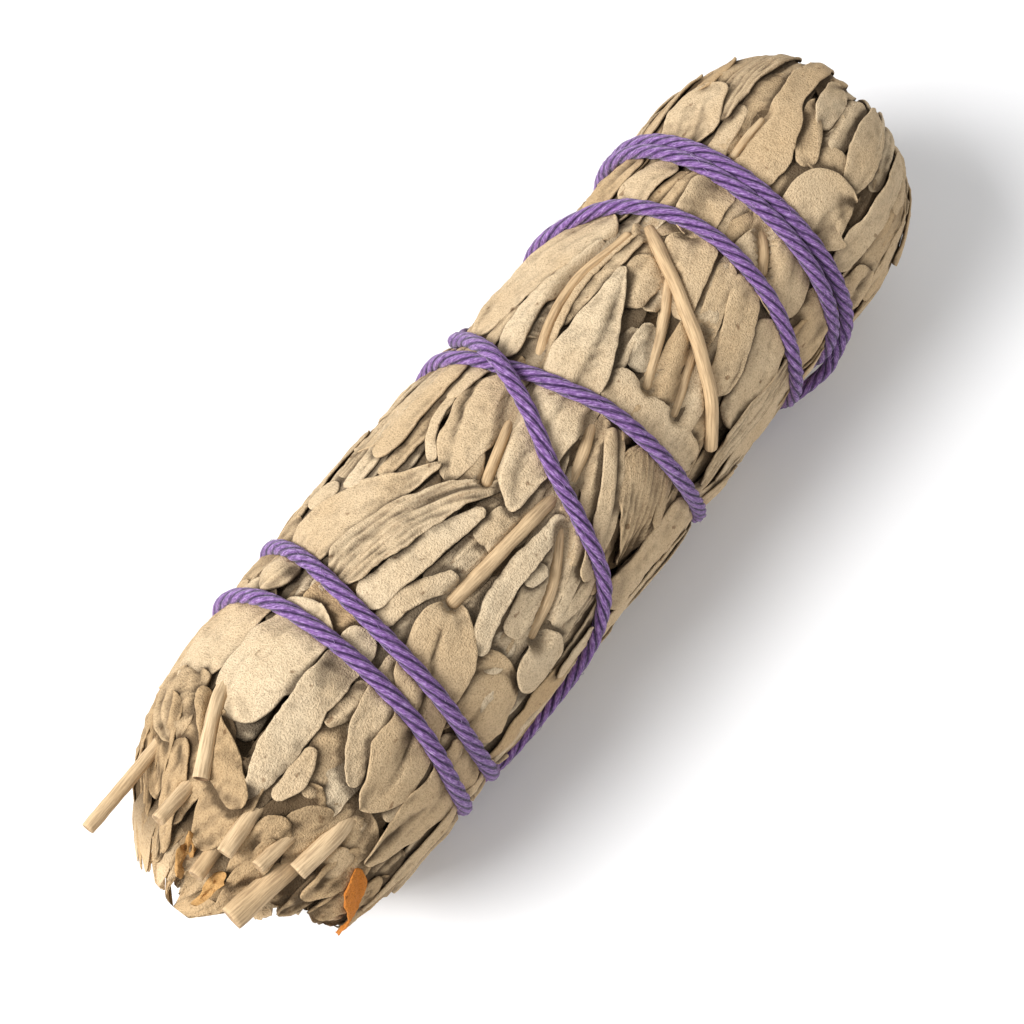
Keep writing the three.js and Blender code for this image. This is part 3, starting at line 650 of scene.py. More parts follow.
class MeshBundle:
    """Vertices, faces and vertex values of one piece, gathered part by part."""

    def __init__(self) -> None:
        """Starts empty."""
        self.points: list[Array] = []
        self.faces: list[Array] = []
        self.paint: list[Array] = []
        self.corners: list[Array] = []
        self.places: list[Array] = []
        self.count = 0

    def add(
        self,
        points: Array,
        faces: Array,
        paint: Array,
        uv: Array,
        places: Optional[Array] = None,
        wrap: float = 0.0,
    ) -> None:
        """Adds one part.

        Args:
            points: vertices in millimetres.
            faces: quads as vertex numbers of this part.
            paint: tint, depth (how much painted shade), weave and 1 for each vertex.
            uv: surface place in millimetres for each vertex.
            places: s, v and h for each vertex, where the painted shade from depth is worked out later.
            wrap: length round a closed section, where uv starts again.
        """
        self.points.append(points)
        self.faces.append(faces + self.count)
        self.paint.append(paint)
        corners = uv[faces]
        if wrap:
            low = corners[..., 1] < corners[..., 1].max(1, keepdims=True) - wrap / 2
            corners[..., 1] += wrap * low
        self.corners.append(corners.reshape(-1, 2))
        unknown = np.full((len(points), 3), np.nan)
        self.places.append(unknown if places is None else places)
        self.count += len(points)

    def build(
        self,
        name: str,
        material: Material,
        painted_shade: Optional[Callable[[Array], Array]] = None,
    ) -> Object:
        """Makes the Blender object.

        Args:
            name: the piece's name.
            material: its finish.
            painted_shade: gives the painted shade of each known place, from how far below its
                surroundings it lies, from 0 to 1.

        Returns:
            The linked object.
        """
        points = np.concatenate(self.points) * MM
        faces = np.concatenate(self.faces).astype(np.int32)
        paint = np.concatenate(self.paint)
        corners = np.concatenate(self.corners)
        # Adds painted shade where a leaf lies below its surroundings.
        if painted_shade is not None:
            places = np.concatenate(self.places)
            known = ~np.isnan(places[:, 0])
            paint[known, 1] = np.clip(paint[known, 1] + painted_shade(places[known]), 0, 1)
        mesh = bpy.data.meshes.new(name)
        mesh.vertices.add(len(points))
        mesh.vertices.foreach_set("co", points.astype(np.float32).ravel())
        mesh.loops.add(faces.size)
        mesh.loops.foreach_set("vertex_index", faces.ravel())
        mesh.polygons.add(len(faces))
        mesh.polygons.foreach_set("loop_start", np.arange(0, faces.size, 4, dtype=np.int32))
        mesh.polygons.foreach_set("use_smooth", np.ones(len(faces), bool))
        layer = mesh.uv_layers.new(name="surface_mm")
        layer.data.foreach_set("uv", corners.astype(np.float32).ravel())
        colours = mesh.color_attributes.new("paint", "FLOAT_COLOR", "POINT")
        colours.data.foreach_set("color", paint.astype(np.float32).ravel())
        mesh.update(calc_edges=True)
        mesh.validate()
        mesh.materials.append(material)
        piece = bpy.data.objects.new(name, mesh)
        bpy.context.scene.collection.objects.link(piece)
        return piece


def picked(columns: int) -> list[int]:
    """Every third column of a leaf's grid, and both borders, always an odd number apart."""
    whole, rest = divmod(columns - 1, 3)
    return [3 * k for k in range(whole + 1)] + [3 * whole + k + 1 for k in range(rest)]


def quads(number: Array, flip: bool = False) -> Array:
    """Makes the quads of a grid of vertices.

    Args:
        number: the vertices' numbers, row by row.
        flip: whether the quads face the other way.

    Returns:
        Rows of four vertex numbers.
    """
    a, b, c, d = number[:-1, :-1], number[:-1, 1:], number[1:, 1:], number[1:, :-1]
    return np.stack([a, d, c, b] if flip else [a, b, c, d], -1).reshape(-1, 4)


def shell_faces(rows: int, columns: int) -> Array:
    """Makes a closed shell: a fine outer skin and an inner skin of fewer columns.

    Args:
        rows: vertices along the leaf.
        columns: vertices across it, at least four.

    Returns:
        Rows of four vertex numbers. The first rows * columns vertices are the outer skin, which
        also holds the border, and the inner skin's inside follows.
    """
    number = np.arange(rows * columns).reshape(rows, columns)
    picks = picked(columns)
    under = number[:, picks].copy()
    inside = (rows - 2) * (len(picks) - 2)
    under[1:-1, 1:-1] = rows * columns + np.arange(inside).reshape(rows - 2, len(picks) - 2)
    ends = []
    for k, (a, b) in enumerate(zip(picks[:-1], picks[1:])):
        first = [*number[0, a : b + 1], under[1, k + 1], under[1, k]][::-1]
        last = [*number[-1, a : b + 1], under[-2, k + 1], under[-2, k]]
        for ring in (first, last):
            ends += [[ring[0], *ring[j : j + 3]] for j in range(1, len(ring) - 2, 2)]
    return np.concatenate([quads(number), quads(under[1:-1], flip=True), np.array(ends)])


def tube_faces(rows: int, columns: int) -> Array:
    """Makes a closed tube, with both ends filled.

    Args:
        rows: rings along the tube.
        columns: vertices round it, an even number.

    Returns:
        Rows of four vertex numbers.
    """
    number = np.arange(rows * columns).reshape(rows, columns)
    caps = []
    for row, flip in ((0, True), (rows - 1, False)):
        for j in range(1, columns - 2, 2):
            quad = [number[row, 0], *number[row, j : j + 3]]
            caps.append(quad[::-1] if flip else quad)
    return np.concatenate([quads(np.concatenate([number, number[:, :1]], 1)), np.array(caps)])


def settled(sheet: Array) -> Array:
    """Makes a stiff sheet of the heights below a leaf: it rests on the high places.

    Args:
        sheet: heights below each vertex of the leaf.

    Returns:
        The sheet's heights.
    """
    for step in range(21):
        padded = np.pad(sheet, 1, mode="edge")
        sides = padded[:-2, 1:-1], padded[2:, 1:-1], padded[1:-1, :-2], padded[1:-1, 2:]
        if step < 3:
            sheet = np.maximum.reduce([sheet, *sides])
        else:
            sheet = (sheet * 2 + (sides[0] + sides[1]) + (sides[2] + sides[3])) / 6
    return sheet


class LeafLayer:
    """Drapes leaves on the roll one after another, and gathers them sprig by sprig."""

    MARGIN = np.array([0.0, 0.05, 0.15])
    PLAIN_MARGIN = np.array([0.0, 0.12])
    PLAIN_SPACING = 0.75
    FULL_MARGIN = 1.3
    ROUNDING = 0.15
    CORNER = 0.4, 2.2
    WIDE = 5.0
    GAP = 0.1
    END_GAP = 0.06
    END_ROOM = 0.7
    SINK = 0.5
    FOLD = 0.13
    CRINKLE = 0.045
    CREASE = 0.17
    ROLLED_EDGE = 0.15
    RIB_PITCH = 0.85
    RIB_HEIGHT = 0.09
    STUB_START = -51.8
    STUB_LENGTH = 2.2
    ROOT = -57.5, 4.5
    FINE = 0.16

    def __init__(self, relief: Relief, seed: int, root_shade: float = 0.0) -> None:
        """Starts on a relief.

        Args:
            relief: what the leaves lie on.
            seed: for every draw.
            root_shade: how much painted shade the roots of end stubs get.
        """
        self.relief = relief
        self.rng = np.random.default_rng(seed)
        self.bundles = [MeshBundle() for _ in SPRIGS]
        self.root_shade = root_shade
        self.count = 0

    def stops(self, length: float, spacing: float) -> Array:
        """Places stops across a length, close together by both edges.

        Args:
            length: in millimetres.
            spacing: widest gap.

        Returns:
            The stops, from 0 to the length.
        """
        plain = spacing > self.PLAIN_SPACING
        margin = (self.PLAIN_MARGIN if plain else self.MARGIN) * min(1.0, length / self.FULL_MARGIN)
        inner = length - 2 * margin[-1]
        steps = max(1, int(math.ceil(inner / spacing)))
        middle = margin[-1] + inner * np.arange(1, steps) / steps
        return np.concatenate([margin, middle, (length - margin)[::-1]])

    def rounding(self, distance: Array) -> Array:
        """From 0 at an edge to 1 inside it, as a round lip."""
        inside = 1 - np.clip(distance / self.ROUNDING, 0, 1)
        return np.sqrt(np.maximum(1 - inside**2, 0))

    def outline(self, spec: LeafSpec) -> tuple[Array, ...]:
        """Works out a leaf's middle line and its two half widths.

        Args:
            spec: the leaf.

        Returns:
            Length stops, middle points (s, v), directions, and left and right half widths.
        """
        stations = np.array(spec.stations, float)
        knots = knots_of(stations)
        length = float(knots[-1])
        u = self.stops(length, spec.spacing)
        curve = spline(stations, u, knots)
        ahead = spline(stations, np.clip(u + 0.05, 0, length), knots)[:, :2]
        behind = spline(stations, np.clip(u - 0.05, 0, length), knots)[:, :2]
        way = ahead - behind
        way /= np.linalg.norm(way, axis=1)[:, None]
        half = np.maximum(curve[:, 2], 0.5) / 2
        if spec.height is None and spec.layer >= 0:
            half = half + UNDER_REACH[spec.layer]
        shape = np.ones_like(u)
        for end, distance in ((0, u), (-1, length - u)):
            blunt = self.rng.uniform(1.5, 2.2)
            corner = float(np.clip(stations[end, 2] * 0.45, *self.CORNER))
            inside = 1 - np.clip(distance / corner, 0, 1)
            shape *= np.maximum(1 - inside**blunt, 0) ** (1 / blunt)
        shape = np.maximum(shape, 0.03)
        slow, quick = Ripple(self.rng, 5.0, 4), Ripple(self.rng, 1.5, 5)
        sides = []
        for k in (0.0, 40.0):
            rough = slow(u, u * 0 + k) * 0.08 * half + quick(u, u * 0 + k) * 0.055
            sides.append((half + rough) * shape)
        return u, curve[:, :2], way, sides[0], sides[1]

    def creases(self, u: Array, share: Array, half: Array) -> Array:
        """Draws sharp folds that run down a leaf.

        Args:
            u: length stops.
            share: stops across, from -1 to 1.
            half: half width at each length stop.

        Returns:
            Rise of the leaf at each of its vertices.
        """
        rng = self.rng
        rise = np.zeros((len(u), len(share)))
        along = (u / u[-1])[:, None]
        for _ in range(int(rng.integers(1, 5))):
            start, lean = rng.uniform(-0.8, 0.8), rng.uniform(-0.9, 0.9)
            line = start + lean * (along - 0.5)
            distance = np.abs(share - line) * half[:, None]
            sharp = np.maximum(1 - distance / rng.uniform(0.4, 1.5), 0) ** 1.3
            span = np.exp(-(((along - rng.uniform(0.1, 0.9)) / rng.uniform(0.25, 0.6)) ** 2))
            rise += rng.normal(0, self.CREASE) * sharp * span
        return rise

    def resting(self, spec: LeafSpec, s: Array, v: Array) -> Array:
        """Finds how high a leaf lies on the leaves below it.

        Args:
            spec: the leaf.
            s: its vertices' places along the roll.
            v: their places round it.

        Returns:
            Height of its outer skin, before its own folds.
        """
        top = LEAF_TOPS[spec.layer] if spec.layer >= 0 else UNDERLAY_TOP
        target = top + swell(s, v)
        target = target + self.rng.uniform(-0.12, 0.12)
        if spec.height is not None:
            return spec.height + 0 * s
        base = settled(self.relief.read(self.relief.height, s, v))
        if spec.across_end:
            lie = base + spec.thickness + self.END_GAP
            return -0.25 * np.logaddexp(-lie / 0.25, -self.END_ROOM / 0.25)
        over = base + spec.thickness + self.GAP - target
        return target + self.SINK * np.tanh(over / self.SINK)

    def folded(
        self, spec: LeafSpec, u: Array, offset: Array, places: Pair, wide: float
    ) -> tuple[Array, Array, Array]:
        """Draws a leaf's soft folds, crinkles and crumples.

        Args:
            spec: the leaf.
            u: length place of each vertex.
            offset: place of each vertex from the middle line.
            places: s and v of each vertex.
            wide: how broad the leaf is, up to 1.

        Returns:
            Rise of the leaf at each of its vertices, in three parts.
        """
        rng = self.rng
        folds = Ripple(rng, 6.5, 6)(u, offset * 1.8)
        crinkle = Ripple(rng, 1.5, 8)(*places)
        crush = 1 - 2 * np.abs(Ripple(rng, 4.4, 5)(u, offset * 1.3))
        crush = crush + 0.4 - 0.8 * np.abs(Ripple(rng, 1.9, 5)(u, offset))
        return folds * self.FOLD * wide, crinkle * self.CRINKLE, crush * spec.crumple

    def drape(self, spec: LeafSpec) -> None:
        """Lays one leaf on what is there and adds it to its sprig.

        Args:
            spec: the leaf.
        """
        rng = self.rng
        stops, middle, way, left, right = self.outline(spec)
        length = float(stops[-1])
        widest = float((left + right).max())
        across = self.stops(widest / spec.stretch, spec.spacing) * spec.stretch
        share = across / widest * 2 - 1
        offset = np.where(share < 0, left[:, None] * share, right[:, None] * share)
        u = stops[:, None] + 0 * offset
        flat = middle[:, :1] - way[:, 1:] * offset, middle[:, 1:] + way[:, :1] * offset
        s, v = ROLL.from_end(*flat) if spec.across_end else flat
        from_side = np.minimum(offset + left[:, None], right[:, None] - offset)
        from_end = np.minimum(stops, length - stops)[:, None]
        lip = self.rounding(from_side) * self.rounding(from_end)
        wide = min(1.0, widest / self.WIDE)
        tilt = spec.tilt if spec.tilt is not None else rng.uniform(-0.34, 0.34) * wide
        crown = spec.crown if spec.crown is not None else rng.uniform(-0.16, 0.22) * wide
        top = self.resting(spec, s, v)
        if spec.height is not None:
            top = top + spec.curl * (stops[:, None] / length) ** 2
        folds, crinkle, crush = self.folded(spec, u, offset, (s, v), wide)
        top = top + crown * (1 - share**2) + tilt * share
        top = top + folds + crinkle + crush
        top = top + self.creases(stops, share, (left + right) / 2) * min(1.0, widest / 3)
        curled = 0.5 + 0.5 * Ripple(rng, 5.0, 4)(u, np.sign(offset) * 20)
        edge = np.exp(-from_side / 0.45)
        top = top + self.ROLLED_EDGE * wide * np.clip(curled, 0, 1) * edge
        if spec.weave is RIB:
            bend = 1.6 * Ripple(rng, 7.0, 4)(u, offset)
            top = top + self.RIB_HEIGHT * np.sin(2 * math.pi * offset / self.RIB_PITCH + bend)
        top = top - self.relief.read(self.relief.dip, s, v)
        top = np.minimum(top, self.relief.read(self.relief.cap, s, v))
        if spec.height is not None:
            rise = np.clip((self.STUB_START - s) / self.STUB_LENGTH, 0, 1)
            room = rise if self.root_shade else self.relief.OPEN
            top = -0.3 * np.logaddexp(-top / 0.3, (1.0 - room * 1.2) / 0.3)
        self.add_shell(spec, (s, v), top, lip, (u, offset))
        if spec.height is None:
            upper = top - spec.thickness / 2 * (1 - lip)
            self.record(stops, share, flat, upper, spec.across_end)
        self.count += 1

    def add_shell(self, spec: LeafSpec, places: Pair, top: Array, lip: Array, surface: Pair) -> None:
        """Adds a leaf's two skins to its sprig.

        Args:
            spec: the leaf.
            places: s and v of each vertex.
            top: height of its outer skin, without the lip.
            lip: from 0 at its edge to 1 inside.
            surface: length place and offset of each vertex.
        """
        s, v = places
        half = spec.thickness / 2
        rows, columns = s.shape
        inner = picked(columns)[1:-1]
        upper = np.stack([s, v, top - half * (1 - lip)], -1)
        lower = np.stack([s, v, top - half * (1 + lip)], -1)[1:-1][:, inner]
        known = np.concatenate([skin.reshape(-1, 3) for skin in (upper, lower)])
        uv_outer = np.stack(surface, -1)
        uv_inner = uv_outer[1:-1][:, inner]
        uv = np.concatenate([uv_outer.reshape(-1, 2), uv_inner.reshape(-1, 2)])
        uv = uv + self.rng.uniform(0, 300, 2)
        tint = spec.tint
        if tint is None:
            tint = float(np.clip(self.rng.normal(0.5, 0.15), 0, 1))
        # The second channel is painted shade: the leaf's own, or on an end stub, more towards its root.
        paint = np.tile([tint, spec.shade, spec.weave.value, 1.0], (len(known), 1))
        if spec.height is not None:
            start, reach = self.ROOT
            paint[:, 1] = np.clip((known[:, 0] - start) / reach, 0, 1) * self.root_shade
        centre = rows // 2, columns // 2
        bundle = self.bundles[sprig_at(float(s[centre]), float(v[centre]))]
        faces = shell_faces(rows, columns)
        bundle.add(ROLL.place(*known.T), faces, paint, uv, known if spec.height is None else None)

    def record(self, u: Array, share: Array, flat: Pair, h: Array, across_end: bool) -> None:
        """Raises the relief to a leaf's outer skin.

        Args:
            u: length stops.
            share: stops across, from -1 to 1.
            flat: the vertices' two flat coordinates.
            h: the outer skin's height.
            across_end: whether the flat coordinates are seen on the far end.
        """
        s, v = flat
        fine_u = np.linspace(0, u[-1], max(4, int(u[-1] / self.FINE)))
        width = float(np.hypot(s[:, -1] - s[:, 0], v[:, -1] - v[:, 0]).max())
        fine_c = np.linspace(-1, 1, max(4, int(width / self.FINE)))
        i = np.clip(np.searchsorted(u, fine_u, side="right") - 1, 0, len(u) - 2)
        a = ((fine_u - u[i]) / (u[i + 1] - u[i]))[:, None]
        j = np.clip(np.searchsorted(share, fine_c, side="right") - 1, 0, len(share) - 2)
        b = ((fine_c - share[j]) / (share[j + 1] - share[j]))[None, :]
        j, k, m = j[None, :], i[:, None], i[:, None] + 1

        def between(grid: Array) -> Array:
            """Reads a leaf grid between its vertices.

            Args:
                grid: values at the vertices.

            Returns:
                Values at the fine places.
            """
            first = grid[k, j] * (1 - b) + grid[k, j + 1] * b
            second = grid[m, j] * (1 - b) + grid[m, j + 1] * b
            return first * (1 - a) + second * a

        places = between(s), between(v)
        if across_end:
            places = ROLL.from_end(*places)
        self.relief.lay(*places, between(h))


class Foliage:
    """All the leaves of the bunch, and the pressed foliage inside each sprig."""

    CORE_DEPTH = 1.3
    STEM_DIP = 0.1
    STEM_SLOPE = 2.2
    STEM_LOWEST = 0.55
    THREAD_DIP = 0.3
    # Painted shade at the roots of the end stubs.
    ROOT_SHADE = 0.75
    UNDERLAY_COLUMNS = 17
    BETWEEN_COLUMNS = 32
    SEEN_SIDE = -25, 31
    HOLLOW_REACH = 2.6
    HIDDEN_COLUMNS = 26, 38, 63, 74.5
    SLIVERS = 90
    RIM_TIPS = 22
    ACROSS_TIPS = 16
    NEAR_TIPS = 30
    STUB_RADII = 1.2, 2.8, 4.4, 6.0, 7.5, 8.9, 10.2, 11.4, 12.3
    STUB_SPACING = 2.6
    INNER_STUBS = 8
    INNER_REACH = 6.2

    def __init__(self, stems: "Stems", thread: "BindingThread") -> None:
        """Lays out the relief that stems and thread press into.

        Args:
            stems: the stems on the body.
            thread: the binding.
        """
        self.relief = Relief(-self.CORE_DEPTH)
        for path, radius in stems.pressed_paths():
            self.relief.press(path, radius, self.STEM_DIP, self.STEM_SLOPE, self.STEM_LOWEST)
        self.relief.press(thread.surface_path(), thread.radius, self.THREAD_DIP)
        self.layer = LeafLayer(self.relief, 7451, self.ROOT_SHADE)
        self.middles = self.middles_of(COLLAR + FOLDED + BELLY + SHOULDER + TIPS)

    def middles_of(self, leaves: list[LeafSpec]) -> Array:
        """Finds where leaves lie and which way they run.

        Args:
            leaves: the leaves.

        Returns:
            A row for each, of its middle's s and v and its rise of v along s.
        """
        rows = []
        for spec in leaves:
            first, last = spec.stations[0], spec.stations[-1]
            run = max(last[0] - first[0], 0.5)
            slope = float(np.clip((last[1] - first[1]) / run, -0.8, 0.8))
            rows.append([(first[0] + last[0]) / 2, (first[1] + last[1]) / 2, slope])
        return np.array(rows)

    def underlay(self) -> list[LeafSpec]:
        """Lays low leaves all round, which show only in the gaps.

        Returns:
            The leaves, in a mixed order.
        """
        rng = np.random.default_rng(311)
        leaves = []
        for i in range(self.UNDERLAY_COLUMNS):
            v = ROLL.turn * i / self.UNDERLAY_COLUMNS
            s = -53 + rng.uniform(0, 6)
            while s < 56:
                length = rng.uniform(12, 19)
                end = min(s + length, 63)
                lean = rng.uniform(-1.6, 1.6)
                width = rng.uniform(5.4, 7.6)
                leaves.append(
                    leaf(
                        UNDERLAY,
                        (s, v - lean, width * 0.4),
                        (s + (end - s) * 0.4, v, width),
                        (end, v + lean, 1.4),
                        spacing=1.7,
                        tint=rng.uniform(0.0, 0.45),
                        shade=0.3,
                    )
                )
                s += length * rng.uniform(0.6, 0.8)
        return [leaves[i] for i in rng.permutation(len(leaves))]

    def flow(self, s: float, v: float) -> float:
        """Finds which way the shown leaves run near a place.

        Args:
            s: place along the roll.
            v: place round it.

        Returns:
            Rise of v along s.
        """
        beside = aside(self.middles[:, 1], v)
        near = np.exp(-((self.middles[:, 0] - s) ** 2) / 40 - beside**2 / 18)
        return float((near * self.middles[:, 2]).sum() / (near.sum() + 0.15))

    def between_leaves(self) -> list[LeafSpec]:
        """Lays narrow leaves under the shown ones, which run the way their neighbours do.

        Returns:
            The leaves, in a mixed order.
        """
        rng = np.random.default_rng(1207)
        leaves = []
        low, high = self.SEEN_SIDE
        for i in range(self.BETWEEN_COLUMNS):
            s = -51 + rng.uniform(0, 7)
            while s < 54:
                length = rng.uniform(9, 20)
                v = ROLL.turn * (i + rng.uniform(-0.4, 0.4)) / self.BETWEEN_COLUMNS
                half = min(length, 61 - s) / 2
                before = v - self.flow(s, v) * half
                after = v + self.flow(s + 2 * half, v) * half
                width = rng.uniform(2.4, 5.0)
                middle = s + half
                if any(math.hypot((middle - a) / 2, v - b) < self.HOLLOW_REACH for a, b in HOLLOWS):
                    s += length * 0.6
                    continue
                leaves.append(
                    leaf(
                        int(rng.integers(0, 2)),
                        (s, before, width * rng.uniform(0.3, 0.9)),
                        (s + half, v + rng.normal(0, 0.4), width),
                        (s + 2 * half, after, width * rng.uniform(0.2, 0.7)),
                        weave=RIB if rng.random() < 0.2 else Weave.FELT,
                        shade=0.1,
                        spacing=0.6 if low < (v + 30) % ROLL.turn - 30 < high else 0.95,
                    )
                )
                s += length * rng.uniform(0.5, 0.8)
        return [leaves[i] for i in rng.permutation(len(leaves))]

    def hidden_side(self) -> Iterator[LeafSpec]:
        """Lays leaves on the far side and underneath, in staggered columns.

        Yields:
            The leaves.
        """
        under = ROLL.turn / 2
        seed, factor, modulus = 24571, 16807, 2147483647

        def draw(low: float, high: float) -> float:
            """Draws the next value of a seeded row.

            Args:
                low: smallest value.
                high: largest value.

            Returns:
                The value.
            """
            nonlocal seed
            seed = seed * factor % modulus
            return low + (high - low) * seed / modulus

        for i, column in enumerate((*self.HIDDEN_COLUMNS[:2], under, *self.HIDDEN_COLUMNS[2:])):
            s = -49 + draw(0, 4) + (i % 2) * 5
            while s < 48:
                length = draw(20, 27)
                width = draw(9, 11)
                lean = draw(-1.2, 1.2)
                layer = 4 if column == under else 1 + int(draw(0, 1.99))
                yield leaf(
                    layer,
                    (s, column - lean, width * 0.25),
                    (s + length * 0.55, column, width),
                    (min(s + length, 57), column + lean, 4 if column == under else 1),
                    spacing=0.74,
                )
                s += length * draw(0.8, 0.92)

    def slivers(self) -> Iterator[LeafSpec]:
        """Lays narrow leaves and folded strips over the hidden side.

        Yields:
            The leaves.
        """
        rng = np.random.default_rng(905)
        golden_step = 0.618034
        for i in range(self.SLIVERS):
            v = 24 + 53 * ((i * golden_step) % 1)
            s = -50 + 94 * (i + rng.uniform(0, 1)) / self.SLIVERS
            length = rng.uniform(11, 24)
            turn = rng.normal(0, 0.2)
            width = rng.uniform(2.0, 6.4)
            mid = s + length * rng.uniform(0.3, 0.6)
            yield leaf(
                int(rng.integers(1, 5)),
                (s, v - turn * length / 2, width * rng.uniform(0.12, 0.5)),
                (mid, v + rng.normal(0, 0.6), width),
                (min(s + length, 58), v + turn * length / 2, 0.7),
                spacing=0.6,
                weave=RIB if rng.random() < 0.25 else Weave.FELT,
            )

    def closing_tips(self) -> Iterator[LeafSpec]:
        """Lays the tips that close the far end: some bent over its rim, some lying across it.

        Yields:
            The leaves.
        """
        rng = np.random.default_rng(77)
        for i in range(self.RIM_TIPS):
            v = ROLL.turn * i / self.RIM_TIPS + rng.uniform(-1.2, 1.2)
            start = rng.uniform(43, 52)
            yield leaf(
                int(rng.integers(-1, 2)),
                (start, v, 2.4),
                (start + 6, v + rng.normal(0, 0.8), rng.uniform(3.6, 6)),
                (rng.uniform(57, 61), v + rng.normal(0, 2.5), rng.uniform(1.5, 5)),
                crumple=rng.uniform(0.05, 0.25),
                spacing=0.5,
            )
        for _ in range(self.ACROSS_TIPS):
            angle = rng.uniform(0, 2 * math.pi)
            turn = angle + rng.normal(math.pi, 0.6)
            radius = rng.uniform(6, 11.5)
            length = rng.uniform(6, 12)
            across, up = radius * math.sin(angle), radius * math.cos(angle)
            width = rng.uniform(3, 6)
            middle, tip = (
                (across + share * length * math.sin(turn), up + share * length * math.cos(turn))
                for share in (0.5, 1.0)
            )
            yield leaf(
                int(rng.integers(0, 2)),
                (across, up, width * 0.7),
                (*middle, width),
                (*tip, width * rng.uniform(0.2, 0.7)),
                across_end=True,
                crumple=rng.uniform(0.05, 0.2),
                tint=rng.uniform(0.1, 0.8),
                spacing=0.5,
            )

    def near_tips(self) -> Iterator[LeafSpec]:
        """Lays leaves whose ragged tips hang over the near end, all the way round.

        Yields:
            The leaves.
        """
        rng = np.random.default_rng(515)
        for i in range(self.NEAR_TIPS):
            v = ROLL.turn * (i + rng.uniform(-0.5, 0.5)) / self.NEAR_TIPS
            drift = rng.normal(0, 1.4)
            width = rng.uniform(4.0, 7.5)
            end = -52.3 - rng.uniform(0.1, 0.8) * overhang(v)
            yield leaf(
                int(rng.integers(0, 3)),
                (-41 - rng.uniform(0, 3), v, width * 0.7),
                (-48, v + drift / 2, width),
                (end, v + drift, width * rng.uniform(0.15, 0.6)),
                crumple=rng.uniform(0.06, 0.22),
                tint=rng.uniform(0.0, 0.3),
                shade=rng.uniform(0.12, 0.34),
                thickness=0.26,
                spacing=0.45,
            )

    def end_stubs(self) -> Iterator[LeafSpec]:
        """Lays crumpled leaf ends that fill the near end between the stems.

        Yields:
            The leaf ends, from the middle outwards.
        """
        rng = np.random.default_rng(4022)
        for radius in self.STUB_RADII:
            number = max(3, int(2 * math.pi * radius / self.STUB_SPACING))
            for i in range(number):
                v = ROLL.turn * (i + rng.uniform(-0.4, 0.4)) / number
                stretch = ROLL.arc_radius / radius
                width = rng.uniform(2.6, 6.0) * stretch
                inside = radius < self.INNER_STUBS
                reach = max(overhang(v), self.INNER_REACH) if inside else overhang(v)
                end = -52.2 - rng.uniform(0.4 if inside else 0.1, 1.0) * reach
                _, core, _, _ = ROLL.section(np.array(end), np.array(v))
                drift = rng.normal(0, 1.0) * stretch
                yield leaf(
                    0,
                    (-47.0, v - drift, width),
                    ((end - 48) / 2, v, width * rng.uniform(0.8, 1.1)),
                    (end, v + drift, width * rng.uniform(0.15, 0.9)),
                    height=float(min(radius, core + 0.4) - core),
                    curl=rng.normal(-0.3, 1.0),
                    crumple=rng.uniform(0.12, 0.45),
                    tilt=rng.uniform(-1.3, 1.3),
                    crown=rng.uniform(-0.8, 0.8),
                    tint=rng.uniform(0, 0.5),
                    thickness=0.22,
                    spacing=0.5,
                    stretch=stretch,
                )

    def add_cores(self) -> None:
        """Adds each sprig's pressed inner foliage as a closed wedge."""
        rng = np.random.default_rng(60)
        rough = Ripple(rng, 5.0, 8)
        s = np.concatenate([np.linspace(ROLL.near_face, 60, 42), [62.0]])
        for k, bundle in enumerate(self.layer.bundles):
            low = np.interp(s, *zip(*SEAMS[k]))
            high = np.interp(s, *zip(*SEAMS[(k + 1) % len(SEAMS)]))
            high = np.where(high < low, high + ROLL.turn, high)
            share = np.linspace(0, 1, 11)
            v = low[:, None] + (high - low)[:, None] * share
            ss = s[:, None] + 0 * v
            h = -self.CORE_DEPTH + 0.25 * rough(ss, v)
            skin = ROLL.place(ss, v, h)
            axis = skin[:, :1] * [1, 0, 0] + [0, 0, ROLL.axis_height]
            ring = np.concatenate([axis, skin], 1)
            points = ring.reshape(-1, 3)
            # The core is painted all in the shade colour: it shows only in gaps where shade falls.
            paint = np.tile([0.1, 1.0, 0.0, 1.0], (len(points), 1))
            bundle.add(points, tube_faces(*ring.shape[:2]), paint, points[:, :2].copy())

    def near_end(self) -> Iterator[LeafSpec]:
        """Gives the near end's shown leaves a browner tint and painted shade, crumples them, and
        narrows their free tips.

        Yields:
            The leaves.
        """
        for spec in NEAR_END:
            s, v, width = spec.stations[0]
            yield replace(
                spec,
                stations=[(s, v, width * NEAR_POINT), *spec.stations[1:]],
                crumple=spec.crumple or NEAR_CRUMPLE,
                tint=NEAR_TINT if spec.tint is None else spec.tint,
                shade=NEAR_SHADE,
            )

    def build(self, finish: Material) -> list[Object]:
        """Drapes every leaf and makes the sprig pieces.

        Args:
            finish: the leaves' material.

        Returns:
            One piece for each sprig.
        """
        shown = [*COLLAR, *self.near_end(), *FOLDED, *BELLY, *SHOULDER, *TIPS]
        hidden = [*self.hidden_side(), *self.slivers(), *self.closing_tips()]
        laid = [*self.between_leaves(), *self.near_tips(), *hidden, *shown]
        laid.sort(key=lambda item: item.layer)
        for spec in [*self.underlay(), *laid, *self.end_stubs()]:
            self.layer.drape(spec)
        self.add_cores()
        around = self.relief.surroundings(1.1)
        beside = self.relief.surroundings(0.3)

        def painted_shade(places: Array) -> Array:
            """Gives the painted shade of each place from how far below its surroundings, near and close
            by, it lies.

            Args:
                places: rows of s, v and height.

            Returns:
                Painted shade from 0 to 1, less where a stem or the thread presses the leaf down.
            """
            s, v, h = places.T
